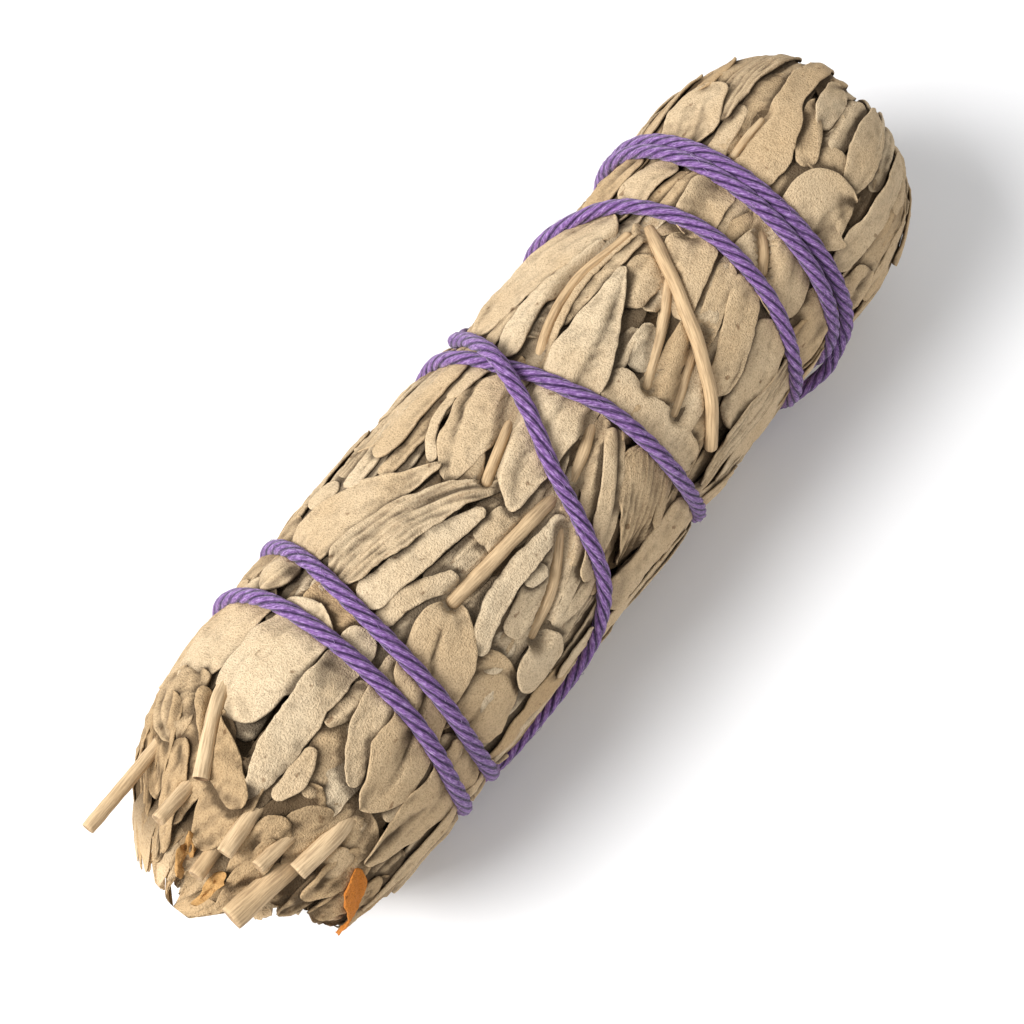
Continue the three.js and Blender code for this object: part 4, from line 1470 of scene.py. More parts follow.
            # Painted shade: broad in hollows, and thin dark lines beside higher leaf edges.
            far = np.clip((self.relief.read(around, s, v) - h - 0.45) / 1.4, 0, 1)
            near = np.clip((self.relief.read(beside, s, v) - h - 0.05) / 0.26, 0, 1)
            pressed = np.clip((h - self.relief.read(self.relief.cap, s, v) + 0.3) / 0.25, 0, 1)
            return np.clip(0.5 * far + near * (1 - 0.75 * pressed), 0, 1)

        pieces = []
        for name, bundle in zip(SPRIGS, self.layer.bundles):
            piece = bundle.build(f"{name}_leaves", finish, painted_shade)
            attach(piece, "root")
            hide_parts(name)
            LOG.info("%s: %d faces", piece.name, len(piece.data.polygons))
            pieces.append(piece)
        LOG.info("%d leaves in %d sprigs", self.layer.count, len(pieces))
        return pieces


CLOSING = (0.45, 0.8, 0.97)


def sweep(
    path: Array,
    out: Array,
    profile: Callable[[Array, Array], Array],
    sides: int,
    cap: float,
) -> tuple[Array, Array, Array]:
    """Sweeps a round section along a path and closes both ends.

    Args:
        path: close points in millimetres.
        out: a direction across the path at each point.
        profile: radius for length (column) and angle (row).
        sides: points round the section.
        cap: how much of the radius the closing bulges.

    Returns:
        Vertices, quads and surface places.
    """
    along = np.gradient(path, axis=0)
    step = np.linalg.norm(along, axis=1)
    along /= step[:, None]
    side = np.cross(along, out)
    side /= np.linalg.norm(side, axis=1)[:, None]
    up = np.cross(side, along)
    length = lengths_of(path)
    angle = np.arange(sides) / sides * 2 * math.pi
    radius = profile(length[:, None], angle[None, :])
    ring = (
        path[:, None]
        + side[:, None] * (radius * np.cos(angle))[..., None]
        + up[:, None] * (radius * np.sin(angle))[..., None]
    )
    closing = []
    for end, way in ((0, -1.0), (-1, 1.0)):
        mean = float(radius[end].mean())
        shrink = []
        for t in CLOSING:
            size = math.sqrt(1 - t * t)
            centre = path[end] + along[end] * way * mean * cap * t
            shrink.append(centre + (ring[end] - path[end]) * max(size, 0.05))
        closing.append(shrink)
    points = np.array(closing[0][::-1] + list(ring) + closing[1])
    number = len(CLOSING)
    full = np.concatenate([np.full(number, length[0]), length, np.full(number, length[-1])])
    uv = np.stack(
        [full[:, None] + 0 * angle, 0 * full[:, None] + angle * float(radius.mean())], -1
    ).reshape(-1, 2)
    return points.reshape(-1, 3), tube_faces(len(points), sides), uv


def outward(path: Array) -> Array:
    """Finds directions away from the roll's axis.

    Args:
        path: points in millimetres.

    Returns:
        A unit direction for each point.
    """
    out = path - [0, 0, ROLL.axis_height]
    out[:, 0] = 0
    return out / np.maximum(np.linalg.norm(out, axis=1), 1e-6)[:, None]


@dataclass(frozen=True)
class Stem:
    """A stem: node, radius, points (x, v, radius from the axis) and any bore."""

    node: str
    radius: float
    points: tuple[Station, ...]
    hollow: float = 0.0
    cut: bool = False


@dataclass
class Stems:
    """The straw-coloured stems, on the body and cut at the near end."""

    sides: int = 18
    spacing: float = 0.35
    wobble: float = 0.07
    pith_share: float = 0.55
    pith_depth: float = 0.12
    bore_depth: float = 2.4
    stems: tuple[Stem, ...] = (
        Stem(
            "stem_ridge",
            0.8,
            ((-21, 5.7, 14.8), (-13, 6.3, 15.4), (-8.6, 6.6, 15.1), (-5.2, 6.9, 13.9)),
        ),
        Stem("stem_side", 0.65, ((-17.5, 15.4, 14.6), (-12, 12.6, 15.2), (-8, 9.9, 14.4))),
        Stem(
            "stem_waist",
            0.6,
            (
                (-9.5, 0.4, 15.1), (-5, -1.2, 15.2), (-1.6, -2.6, 14), (3.6, -4.2, 14),
                (8, -5.9, 15.2), (14, -7, 15.4), (22, -6.1, 15),
            ),
        ),
        Stem(
            "stem_crossing",
            0.75,
            ((24, -4.5, 14.5), (21.8, -1.2, 15.3), (19, 3.2, 15.9), (14, 12, 16.1), (10.6, 17.6, 15.8)),
        ),
        Stem("stem_under_crossing", 0.65, ((20, 1.4, 14.6), (15, 4.3, 14.6), (9.4, 7, 14.6))),
        Stem("stem_low_crossing", 0.65, ((17.5, 7.8, 14.6), (13, 9.8, 14.6), (9.6, 11.4, 14.6))),
        Stem("stem_slant", 0.65, ((-3.4, 7.3, 14.4), (0, 6, 15), (2.6, 5, 14.2))),
        Stem("stem_shoulder", 0.65, ((27.8, 8.7, 14.8), (29.5, 7.2, 15), (31, 5.8, 14.4))),
        Stem("stem_tip", 0.5, ((36.3, -2.3, 15.1), (39, -2.5, 15.1), (42, -2.7, 14.7))),
        Stem(
            "stem_cut_hollow",
            0.8,
            ((-38.6, -8.6, 14.4), (-43, -6, 15.6), (-49.2, -2.2, 15.2)),
            hollow=0.4,
            cut=True,
        ),
        Stem(
            "stem_cut_upper",
            1.0,
            ((-41, 12, 13.9), (-45, 11.9, 15.0), (-49.9, 11.6, 14.6)),
            cut=True,
        ),
        Stem("stem_cut_thick", 1.3, ((-47, 12.2, 12.2), (-56.9, 10.4, 12.2)), cut=True),
        Stem("stem_cut_dark", 0.75, ((-43, 9.8, 13.2), (-52, 8, 14.3)), cut=True),
        Stem("stem_cut_middle", 0.85, ((-46.5, 3.8, 13.6), (-53, 4.4, 13.9)), cut=True),
        Stem("stem_cut_low", 0.8, ((-48, 2.4, 9.8), (-56, 3.4, 10.8)), cut=True),
        Stem("stem_cut_left", 0.75, ((-47, -4.4, 12.2), (-54.4, -3.6, 13.8)), cut=True),
        Stem("stem_cut_right", 0.9, ((-47, 24, 9), (-52.2, 24.6, 9.3)), cut=True),
        Stem("stem_cut_under", 1.1, ((-47, 46, 8), (-55.5, 46, 8.4)), cut=True),
        Stem("stem_cut_back", 0.8, ((-47, 72, 9.5), (-54, 71, 10)), cut=True),
        Stem("stem_stray", 0.7, ((-42, -12.5, 13.2), (-58.9, -10.6, 13.9)), cut=True),
    )

    def path(self, stem: Stem, spacing: float) -> Array:
        """Draws a stem's middle line.

        Args:
            stem: the stem.
            spacing: widest gap between places.

        Returns:
            Close places (x, v, radius) along it.
        """
        points = np.array(stem.points, float)
        knots = knots_of(points)
        stops = np.linspace(0, knots[-1], max(6, int(knots[-1] / spacing)))
        return spline(points, stops, knots)

    def pressed_paths(self) -> Iterator[tuple[Array, float]]:
        """Finds where stems press into the leaves.

        Returns:
            Paths as s, v and height, with radii.
        """
        for stem in self.stems:
            places = self.path(stem, 0.25)
            _, core, _, _ = ROLL.section(places[:, 0], places[:, 1])
            heights = places[:, 2] - core
            shown = heights > (1.0 if stem.cut else -0.8)
            if shown.any():
                yield np.stack([places[:, 0], places[:, 1], heights], -1)[shown], stem.radius

    def build(self, finish: Material) -> list[Object]:
        """Makes each stem with its ribs, and a sunk or hollow pith at a cut end.

        Args:
            finish: straw material.

        Returns:
            The pieces.
        """
        pieces = []
        for k, stem in enumerate(self.stems):
            rng = np.random.default_rng(100 + k)
            rough = Ripple(rng, 3.0, 5)
            places = self.path(stem, self.spacing)
            path = np.array([ROLL.polar(*place) for place in places])
            wobble = Ripple(rng, 9.0, 4)
            run = np.arange(len(path)) * self.spacing
            aside_and_up = wobble(run, run * 0), wobble(run, run * 0 + 9)
            path = path + self.wobble * np.stack([0 * run, *aside_and_up], -1)

            def profile(length: Array, angle: Array) -> Array:
                """Ribs a stem along its length.

                Args:
                    length: places along it.
                    angle: angles round it.

                Returns:
                    Its radius.
                """
                ribs = 0.025 * np.cos(7 * angle + 0.2 * length) + 0.015 * np.cos(12 * angle)
                uneven = 0.05 * rough(length, 2 * np.cos(angle)) + 0.02 * np.sin(length / 1.7)
                return stem.radius * (0.97 + ribs + uneven)

            cap = 0.15 if stem.cut else 0.8
            points, faces, uv = sweep(path, outward(path), profile, self.sides, cap)
            if stem.cut:
                points = self.open_end(points, path, stem)
            bundle = MeshBundle()
            tint = float(rng.uniform(0.3, 0.8))
            paint = np.tile([tint, 0, 0, 1.0], (len(points), 1))
            # Paints the cut end darker: painted shade down a hollow bore, a darker cut face on a solid
            # stem.
            if stem.cut:
                dark = 0.9 if stem.hollow else 0.45
                paint[-self.sides * len(CLOSING) :, 1:3] = [dark, 1.0]
            wrap = float(uv[:, 1].max()) * self.sides / (self.sides - 1)
            bundle.add(points, faces, paint, uv, wrap=wrap)
            piece = bundle.build(f"{stem.node}_straw", finish)
            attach(piece, "root")
            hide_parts(stem.node)
            pieces.append(piece)
        LOG.info("%d stems", len(pieces))
        return pieces

    def open_end(self, points: Array, path: Array, stem: Stem) -> Array:
        """Sinks the pith at the cut end, deep where the stem is hollow.

        Args:
            points: the stem's vertices, ring by ring.
            path: its middle line.
            stem: the stem.

        Returns:
            The vertices, with the last rings sunk.
        """
        rings = points.reshape(-1, self.sides, 3).copy()
        along = path[-1] - path[-3]
        along /= np.linalg.norm(along)
        inner = stem.hollow / stem.radius if stem.hollow else self.pith_share
        depth = self.bore_depth if stem.hollow else self.pith_depth
        edge = rings[-4] - path[-1]
        shapes = (0.86, -0.02), (inner, 0.02), (inner * 0.7, depth)
        for row, (size, sink) in zip((-3, -2, -1), shapes):
            rings[row] = path[-1] + edge * size - along * sink
        return rings.reshape(-1, 3)


@dataclass
class BindingThread:
    """The one long soft cotton thread, as plies twisted along the route."""

    radius: float = 0.8
    route_radius: float = 16.1
    floor_gap: float = 0.3
    twist_pitch: float = 11.5
    plies: int = 5
    groove: float = 0.78
    ply_height: float = 0.25
    sides: int = 26
    small_sides: int = 16
    spacing: float = 0.4
    route_step: float = 0.25
    fibres: int = 900
    fibre_radius: float = 0.024
    fibre_root: float = 0.7
    turns: tuple[tuple[Station, ...], ...] = (
        (
            (-34, -33.4, 0.2), (-27, -33.6, 0), (-20.5, -33.2, 0), (-15, -32.3, 0),
            (-10, -31.7, 0), (0, -31.6, 0), (10, -32.3, 0), (20, -33.6, 0), (30, -33, 0),
            (38, -31.5, -0.4), (46, -30, 0), (54, -28.8, 0), (62, -27.8, 0), (70, -26.8, 0),
        ),
        (
            (-20, -25.8, 0), (-15, -25.8, 0), (-10, -26.2, 0), (0, -27.8, 0), (10, -28.9, 0),
            (20, -29.6, 0), (28, -28.6, 0), (34.5, -26, -0.4), (42, -21, 0), (50, -15.5, 0),
            (58, -10, 0), (70, -3.2, 0),
        ),
        (
            (-20, 0.7, 0), (-15, 1, 0), (-11, 1.4, -0.2), (-7, 1.9, -0.45), (-3, 2.6, -0.3),
            (0, 3, 0), (5, 4.2, 0), (10, 4.7, 0), (20, 5.8, 0), (30, 8, 0), (42, 11, 0),
            (50, 13, 0), (58, 15, 0), (66, 17.2, -0.4), (73, 18.6, 0),
        ),
        (
            (-20, 19.8, 0), (-16, 21, 0), (-10, 24.2, 0), (-5, 25.6, 0), (0, 26.4, 0),
            (10, 26, 0), (20, 24.8, 0), (30, 25.5, 0), (36, 27.4, -0.4), (42, 28.8, 0),
            (50, 30, 0), (60, 31.2, 0), (70, 32.1, 0),
        ),
        (
            (-20, 32.7, 0), (-8, 32.9, 0), (5, 32.5, 0), (20, 31.9, 0), (30.8, 31.8, -0.4),
            (40, 32.4, 0), (50, 33.2, 0), (60, 34.2, 0), (70, 34.8, 0),
        ),
        (
            (-20, 34.5, 0), (-8, 34.5, 0), (5, 34.1, 0), (16, 34.1, 0), (24, 33.9, 0.4),
            (30.8, 31.8, 1.4), (36, 27.4, 1.4), (41, 23.8, 0.1), (50, 20.8, 0),
            (59, 19.4, 0.2), (66, 17.2, 1.4), (72.5, 11.4, 0.2),
        ),
        (
            (-20, 4.8, 0), (-15, 3.9, 0), (-12, 3.1, 0.5), (-7, 1.7, 1.4), (-2, -0.5, 0.5),
            (5, -4.5, 0), (10, -6.2, 0), (20, -9.3, 0), (26, -13.5, 0.1), (31, -20, 0.6),
            (34.5, -26, 1.4), (38, -31.5, 1.4), (43, -34.4, 0.1), (51, -35.6, 0),
            (59, -35, 0), (65, -33.6, 0.2),
        ),
    )
    knot: Station = (-33.5, -34.8, 16.8)
    knot_radius: float = 1.25
    tails: tuple[tuple[Station, ...], ...] = (
        ((-34.8, -33.6, 0.8), (-31.6, -31, 0.3), (-29.4, -30.4, 0.1)),
        ((-34.8, -33.4, 0.8), (-35.8, -36.6, 0.3), (-35, -39, 0.1)),
    )

    def rows(self) -> Array:
        """The route's points (v, x, lift), with v growing from turn to turn."""
        numbered = enumerate(self.turns)
        return np.array([(v + i * ROLL.turn, x, lift) for i, turn in numbered for v, x, lift in turn])

    def route(self) -> Array:
        """Draws the whole route.

        Returns:
            Close places (v, x, lift) along it.
        """
        rows = self.rows()
        first, last = rows[0, 0], rows[-1, 0]
        stops = np.linspace(first, last, int((last - first) / self.route_step))
        return np.column_stack([stops, spline(rows[:, 1:], stops, rows[:, 0])])

    def surface_path(self) -> Array:
        """Finds where the thread presses into the leaves.

        Returns:
            The route as s, v and height above the pressed core.
        """
        route = self.route()
        height = self.route_radius + route[:, 2] - ROLL.core_radius
        return np.stack([route[:, 1], route[:, 0], height], -1)

    def in_space(self, places: Array) -> Array:
        """Turns route places into points above the surface that the roll lies on.

        Args:
            places: rows of v, x and lift.

        Returns:
            Points in millimetres, kept within the frame's box.
        """
        points = np.array([ROLL.polar(x, v, self.route_radius + lift) for v, x, lift in places])
        points[:, 2] = np.maximum(points[:, 2], self.radius + self.floor_gap)
        room = self.radius * 1.05
        return np.clip(points, np.array(ROLL.box_low) + room, np.array(ROLL.box_high) - room + 0.07)

    def even(self, points: Array) -> Array:
        """Spaces points evenly.

        Args:
            points: a line of points.

        Returns:
            The same line with points an even spacing apart.
        """
        length = lengths_of(points)
        stops = np.linspace(0, length[-1], int(length[-1] / self.spacing))
        return np.stack([np.interp(stops, length, points[:, k]) for k in range(3)], -1)

    def profile(self, rng: Generator) -> Callable[[Array, Array], Array]:
        """Shapes the section: soft plies, slightly flattened and uneven.

        Args:
            rng: seeded draw.

        Returns:
            What gives the radius for length and angle.
        """
        uneven = Ripple(rng, 5.0, 6)
        fine = Ripple(rng, 0.9, 8)

        def radius(length: Array, angle: Array) -> Array:
            """Shapes one place of the section.

            Args:
                length: places along the thread.
                angle: angles round it.

            Returns:
                The radius there.
            """
            flat = 1 + 0.04 * np.cos(2 * angle)
            uneven_size = 0.02 * uneven(length, 5 + 0 * length)
            fuzz = 0.018 * fine(length * 0.5, angle * 2.2)
            ply = self.ply(length, angle) ** 0.6
            size = self.groove + self.ply_height * ply + uneven_size + fuzz
            return self.radius * flat * size

        return radius

    def ply(self, length: Array, angle: Array) -> Array:
        """From 0 in the groove between two plies to 1 on a ply's back."""
        turned = angle - 2 * math.pi * length / self.twist_pitch + 0.3 * np.sin(length / 2.3)
        return np.abs(np.cos(self.plies / 2 * turned))

    def knot_path(self) -> Array:
        """Draws a small overhand knot.

        Returns:
            Its line of points, round its middle.
        """
        t = np.linspace(0.2, 2 * math.pi - 0.2, 90)
        size = self.knot_radius * 0.55
        along = size * (np.sin(t) + 1.6 * np.sin(2 * t))
        across = size * (np.cos(t) - 1.6 * np.cos(2 * t))
        local = np.stack([along, across, -size * 1.1 * np.sin(3 * t)], -1)
        middle = ROLL.polar(*self.knot)
        out = middle - [middle[0], 0, ROLL.axis_height]
        out /= np.linalg.norm(out)
        side = np.cross(out, [1.0, 0, 0])
        return middle + local[:, :1] * [1.0, 0, 0] + local[:, 1:2] * side + local[:, 2:] * out * 0.7

    def build(self, finish: Material) -> Object:
        """Makes the thread with its knot, its two cut tails and loose fibres.

        Args:
            finish: cotton material.

        Returns:
            The piece.
        """
        rng = np.random.default_rng(18)
        bundle = MeshBundle()
        lines = [self.even(self.in_space(self.route())), self.knot_path()]
        for tail in self.tails:
            rows = np.array(tail)
            knots = np.arange(len(rows), dtype=float)
            lines.append(self.even(self.in_space(spline(rows, np.linspace(0, 2, 60), knots))))
        for i, line in enumerate(lines):
            sides = self.sides if i == 0 else self.small_sides
            points, faces, uv = sweep(line, outward(line), self.profile(rng), sides, 0.7)
            round_length = float(uv[:, 1].max()) * sides / (sides - 1)
            groove = 1 - self.ply(uv[:, 0], uv[:, 1] / round_length * 2 * math.pi)
            paint = np.tile([0.5, 0, 0, 1.0], (len(points), 1))
            # Painted shade in the grooves between plies.
            paint[:, 1] = groove**2
            uv[:, 1] -= uv[:, 0] * round_length / self.twist_pitch
            bundle.add(points, faces, paint, uv, wrap=round_length)
        self.add_fibres(bundle, lines[0], rng)
        piece = bundle.build("binding_thread_cotton", finish)
        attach(piece, "root")
        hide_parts("binding_thread")
        LOG.info("%s: %d faces", piece.name, len(piece.data.polygons))
        return piece

    def add_fibres(self, bundle: MeshBundle, line: Array, rng: Generator) -> None:
        """Adds short loose fibres that stand off the thread.

        Args:
            bundle: the thread's parts.
            line: its middle line.
            rng: seeded draw.
        """
        out = outward(line)
        along = np.gradient(line, axis=0)
        along /= np.linalg.norm(along, axis=1)[:, None]
        side = np.cross(along, out)
        for _ in range(self.fibres):
            i = int(rng.integers(4, len(line) - 4))
            angle = rng.uniform(0, 2 * math.pi)
            away = math.cos(angle) * side[i] + math.sin(angle) * out[i]
            length = rng.uniform(0.4, 1.2)
            t = np.linspace(0, 1, 4)[:, None]
            lean = along[i] * rng.choice([-1, 1]) * length
            rise = rng.uniform(0.05, 0.22)
            curl = np.cross(along[i], away) * rng.uniform(-0.35, 0.35)
            off = self.fibre_root + rise * np.sin(t * 2.6)
            strand = line[i] + away * off + lean * t + curl * t * t
            if (strand < ROLL.box_low).any() or (strand > ROLL.box_high).any():
                continue
            points, faces, uv = sweep(
                strand,
                np.tile(away, (len(strand), 1)),
                lambda length, angle: self.fibre_radius + 0 * length + 0 * angle,
                sides=4,
                cap=0.5,
            )
            paint = np.tile([rng.uniform(0.6, 1.0), 0, 0, 1.0], (len(points), 1))
            bundle.add(points, faces, paint, uv)


@dataclass
class LooseLeaves:
    """The rust-coloured leaf and the two curled golden scraps."""

    rust: LeafSpec = field(
        default_factory=lambda: leaf(
            3, (-46.2, 16.4, 1.4), (-47.6, 18.4, 2.9), (-50.2, 22.6, 1.5), (-53.4, 27.4, 0.3),
            height=1.7, tilt=0.25, crown=0.1, crumple=0.03, thickness=0.24, spacing=0.25,
        )
    )
    curls: tuple[tuple[str, LeafSpec], ...] = (
        (
            "dry_curl_upper",
            leaf(
                2, (-53.2, -0.4, 1.2), (-54.6, 0.2, 2.2), (-55.8, 0.4, 1.8), (-57, 1.2, 0.8),
                height=1, tilt=0.8, crown=0.3, crumple=0.7, thickness=0.18, spacing=0.16,
            ),
        ),
        (
            "dry_curl_lower",
            leaf(
                1, (-54.2, 6, 1), (-55.6, 6.2, 2.0), (-57, 6.7, 1.4), (-58.2, 6.5, 0.5),
                height=0.8, tilt=-0.8, crown=-0.4, crumple=0.7, thickness=0.18, spacing=0.16,
            ),
        ),
    )

    def build(self, rust: Material, golden: Material) -> list[Object]:
        """Makes the loose leaves.

        Args:
            rust: finish of the rust leaf.
            golden: finish of the scraps.

        Returns:
            The pieces.
        """
        pieces = []
        wanted = [("rust_leaf", self.rust, rust, "rust_leaf")]
        wanted += [(node, spec, golden, "golden_leaf") for node, spec in self.curls]
        for k, (node, spec, finish, slot) in enumerate(wanted):
            layer = LeafLayer(Relief(0.0), 900 + k)
            layer.drape(spec)
            bundle = next(item for item in layer.bundles if item.count)
            piece = bundle.build(f"{node}_dry", finish)
            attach(piece, "root")
            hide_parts(node)
            pieces.append(piece)
        LOG.info("%d loose leaves", len(pieces))
        return pieces


class Tree:
    """A material's nodes."""

    def __init__(self, name: str) -> None:
        """Starts a material with nothing but its output.

        Args:
            name: the material's name.
        """
        self.material = bpy.data.materials.new(name)
        self.material.use_nodes = True
        self.nodes = self.material.node_tree.nodes
        self.links = self.material.node_tree.links
        self.nodes.clear()

    def put(self, socket: Any, value: Any) -> None:
        """Sets a socket, or links it to a wrapped one.

        Args:
            socket: the input.
            value: a constant or a wrapped output.
        """
        if isinstance(value, Value):
            self.links.new(value.socket, socket)
        else:
            socket.default_value = value

    def node(
        self,
        kind: str,
        settings: Optional[dict[str, Any]] = None,
        inputs: Optional[dict[Any, Any]] = None,
        stops: Optional[list[tuple[float, tuple[float, ...]]]] = None,
    ) -> Any:
        """Makes a node: its settings first, then its sockets.

        Args:
            kind: Blender's node type.
            settings: properties to set.
            inputs: socket name or number to value or wrapped socket.
            stops: a colour ramp's places and colours.

        Returns:
            The node.
        """
        made = self.nodes.new(kind)
        for key, value in (settings or {}).items():
            setattr(made, key, value)
        if stops:
            ramp = made.color_ramp
            while len(ramp.elements) < len(stops):
                ramp.elements.new(0.5)
            for element, (place, colour) in zip(ramp.elements, stops):
                element.position = place
                element.color = (*colour[:3], 1.0)
        for key, value in (inputs or {}).items():
            self.put(made.inputs[key], value)
        return made

    def value(self, node: Any, output: Any = 0) -> "Value":
        """Wraps a node's output."""
        return Value(self, node.outputs[output])

    def mix(self, amount: Any, first: Any, second: Any) -> "Value":
        """Mixes two colours.

        Args:
            amount: share of the second, from 0 to 1.
            first: colour at 0.
            second: colour at 1.

        Returns:
            The mixed colour.
        """
        kinds = {"data_type": "RGBA", "blend_type": "MIX"}
        return self.value(self.node("ShaderNodeMix", kinds, {0: amount, 6: first, 7: second}), 2)

    def noise(self, at: "Value", scale: float, detail: float, roughness: float = 0.5) -> "Value":
        """Reads noise at a place.

        Args:
            at: the place.
            scale: waves in a unit of it.
            detail: octaves.
            roughness: how much the octaves count.

        Returns:
            A value of about 0 to 1.
        """
        inputs = {"Vector": at, "Scale": scale, "Detail": detail, "Roughness": roughness}
        return self.value(self.node("ShaderNodeTexNoise", inputs=inputs))

    def stretched(self, at: "Value", scale: tuple[float, float, float]) -> "Value":
        """A place scaled along its axes."""
        scaled = self.node("ShaderNodeVectorMath", {"operation": "MULTIPLY"}, {0: at, 1: scale})
        return self.value(scaled)

    def bump(self, height: "Value", distance: float, strength: float) -> "Value":
        """Makes a bump from a height.

        Args:
            height: from 0 to 1.
            distance: its full rise in metres.
            strength: from 0 to 1.

        Returns:
            The normal.
        """
        inputs = {"Height": height, "Distance": distance, "Strength": strength}
        return self.value(self.node("ShaderNodeBump", inputs=inputs))

    def object_place(self) -> "Value":
        """Where a point of the piece is, in metres."""
        return self.value(self.node("ShaderNodeTexCoord"), "Object")

    def surface_place(self) -> "Value":
        """Where a point lies along and across its leaf, stem or thread, in millimetres."""
        return self.value(self.node("ShaderNodeUVMap", {"uv_map": "surface_mm"}))

    def painted(self) -> list["Value"]:
        """Reads the values painted on the vertices.

        Returns:
            Tint, depth (how much painted shade) and weave, each from 0 to 1.
        """
        paint = self.value(self.node("ShaderNodeVertexColor", {"layer_name": "paint"}))
        parts = self.node("ShaderNodeSeparateColor", inputs={0: paint})
        return [self.value(parts, i) for i in range(3)]

    def surface(self, **inputs: Any) -> Material:
        """Closes the material with a principled surface.

        Args:
            inputs: the surface's sockets, with spaces written as underscores.

        Returns:
            The material.
        """
        named = {key.replace("_", " "): value for key, value in inputs.items()}
        shader = self.node("ShaderNodeBsdfPrincipled", inputs=named)
        out = self.node("ShaderNodeOutputMaterial")
        self.links.new(shader.outputs[0], out.inputs[0])
        return self.material


class Value:
    """A number socket that can be used in an expression."""

    def __init__(self, tree: Tree, socket: Any) -> None:
        """Wraps a socket of a tree."""
        self.tree = tree
        self.socket = socket

    def maths(self, operation: str, first: Any, second: Any = 0.0) -> "Value":
        """Adds a Math node."""
        made = self.tree.node("ShaderNodeMath", {"operation": operation}, {0: first, 1: second})
        return Value(self.tree, made.outputs[0])

    def __add__(self, other: Any) -> "Value":
        """self + other."""
        return self.maths("ADD", self, other)

    def __radd__(self, other: Any) -> "Value":
        """other + self."""
        return self.maths("ADD", other, self)

    def __sub__(self, other: Any) -> "Value":
        """self - other."""
        return self.maths("SUBTRACT", self, other)

    def __rsub__(self, other: Any) -> "Value":
        """other - self."""
        return self.maths("SUBTRACT", other, self)

    def __mul__(self, other: Any) -> "Value":
        """self * other."""
        return self.maths("MULTIPLY", self, other)

    def __rmul__(self, other: Any) -> "Value":
        """other * self."""
        return self.maths("MULTIPLY", other, self)

    def over(self, low: float, high: float) -> "Value":
        """Measures how far self is from low to high.

        Args:
            low: where the result is 0.
            high: where it is 1.

        Returns:
            The share, kept from 0 to 1.
        """
        inputs = {"Value": self, "From Min": low, "From Max": high}
        made = self.tree.node("ShaderNodeMapRange", {"clamp": True}, inputs)
        return Value(self.tree, made.outputs[0])


def linear(*display: float) -> tuple[float, ...]:
    """Turns a display colour into a linear one.

    Args:
        display: red, green and blue, from 0 to 255.

    Returns:
        Linear red, green, blue and 1.
    """
    shares = [channel / 255 for channel in display]
    curved = [c / 12.92 if c <= 0.04045 else ((c + 0.055) / 1.055) ** 2.4 for c in shares]
    return (*curved, 1.0)


@dataclass(frozen=True)
class LeafFinish:
    """Felted dry leaf: fine grain, patches, ribs along some leaves, and painted shade where it lies
    deep.
    """

    name: str
    pale: Colour
    warm: Colour
    dark: Colour
    # Colour of the painted shade.
    painted_shade: Colour
    relief: float = 0.36 * MM

    def make(self) -> Material:
        """Builds the material.

        Returns:
            The material.
        """
        tree = Tree(self.name)
        place, along = tree.object_place(), tree.surface_place()
        tint, depth, ribbed = tree.painted()
        patches = tree.noise(place, 180, 3)
        grain = tree.noise(place, 5200, 2, 0.7)
        nap = tree.noise(place, 1900, 2)
        streaks = tree.noise(tree.stretched(along, (0.22, 2.6, 1.0)), 1.0, 3, 0.6)
        body = tree.mix(tint, linear(*self.warm), linear(*self.pale))
        body = tree.mix(patches.over(0.35, 0.7) * 0.35, body, linear(*self.warm))
        body = tree.mix(grain.over(0.52, 0.34) * 0.34, body, linear(*self.dark))
        body = tree.mix(nap.over(0.5, 0.36) * 0.08, body, linear(*self.dark))
        marks = streaks.over(0.52, 0.36) * (0.05 + ribbed * 0.26)
        body = tree.mix(marks, body, linear(*self.dark))
        specks = tree.noise(place, 900, 1).over(0.72, 0.77)
        body = tree.mix(specks * 0.55, body, linear(*self.dark))
        # Painted shade from the depth channel: hollows, lines beside leaf edges, cores and stub roots.
        body = tree.mix(depth.over(0.03, 0.9) * 0.8, body, linear(*self.painted_shade))
        height = grain * 0.9 + nap * 0.35 + streaks * (0.1 + ribbed * 0.9)
        normal = tree.bump(height, self.relief, 0.8)
        return tree.surface(Base_Color=body, Roughness=0.95, Normal=normal, Specular_IOR_Level=0.15)


@dataclass(frozen=True)
class StrawFinish:
    """Dry stem: streaks along it, a little smoother than the leaves, with painted shade down a hollow
    bore and a darker solid cut end.
    """

    name: str
    pale: Colour
    warm: Colour
    dark: Colour
    relief: float = 0.1 * MM

    def make(self) -> Material:
        """Builds the material.

        Returns:
            The material.
        """
        tree = Tree(self.name)
        place, along = tree.object_place(), tree.surface_place()
        tint, depth, _ = tree.painted()
        streaks = tree.noise(tree.stretched(along, (0.35, 5.0, 1.0)), 1.0, 4, 0.6)
        grain = tree.noise(place, 3200, 2)
        blotch = tree.noise(place, 260, 2)
        body = tree.mix(tint, linear(*self.warm), linear(*self.pale))
        body = tree.mix(streaks.over(0.58, 0.36) * 0.5, body, linear(*self.dark))
        body = tree.mix(blotch.over(0.55, 0.75) * 0.35, body, linear(*self.warm))
        # Painted shade down a hollow bore, and a darker solid cut end.
        body = tree.mix(depth, body, linear(*self.dark))
        normal = tree.bump(streaks * 0.8 + grain * 0.4, self.relief, 0.6)
        return tree.surface(Base_Color=body, Roughness=0.75, Normal=normal, Specular_IOR_Level=0.3)


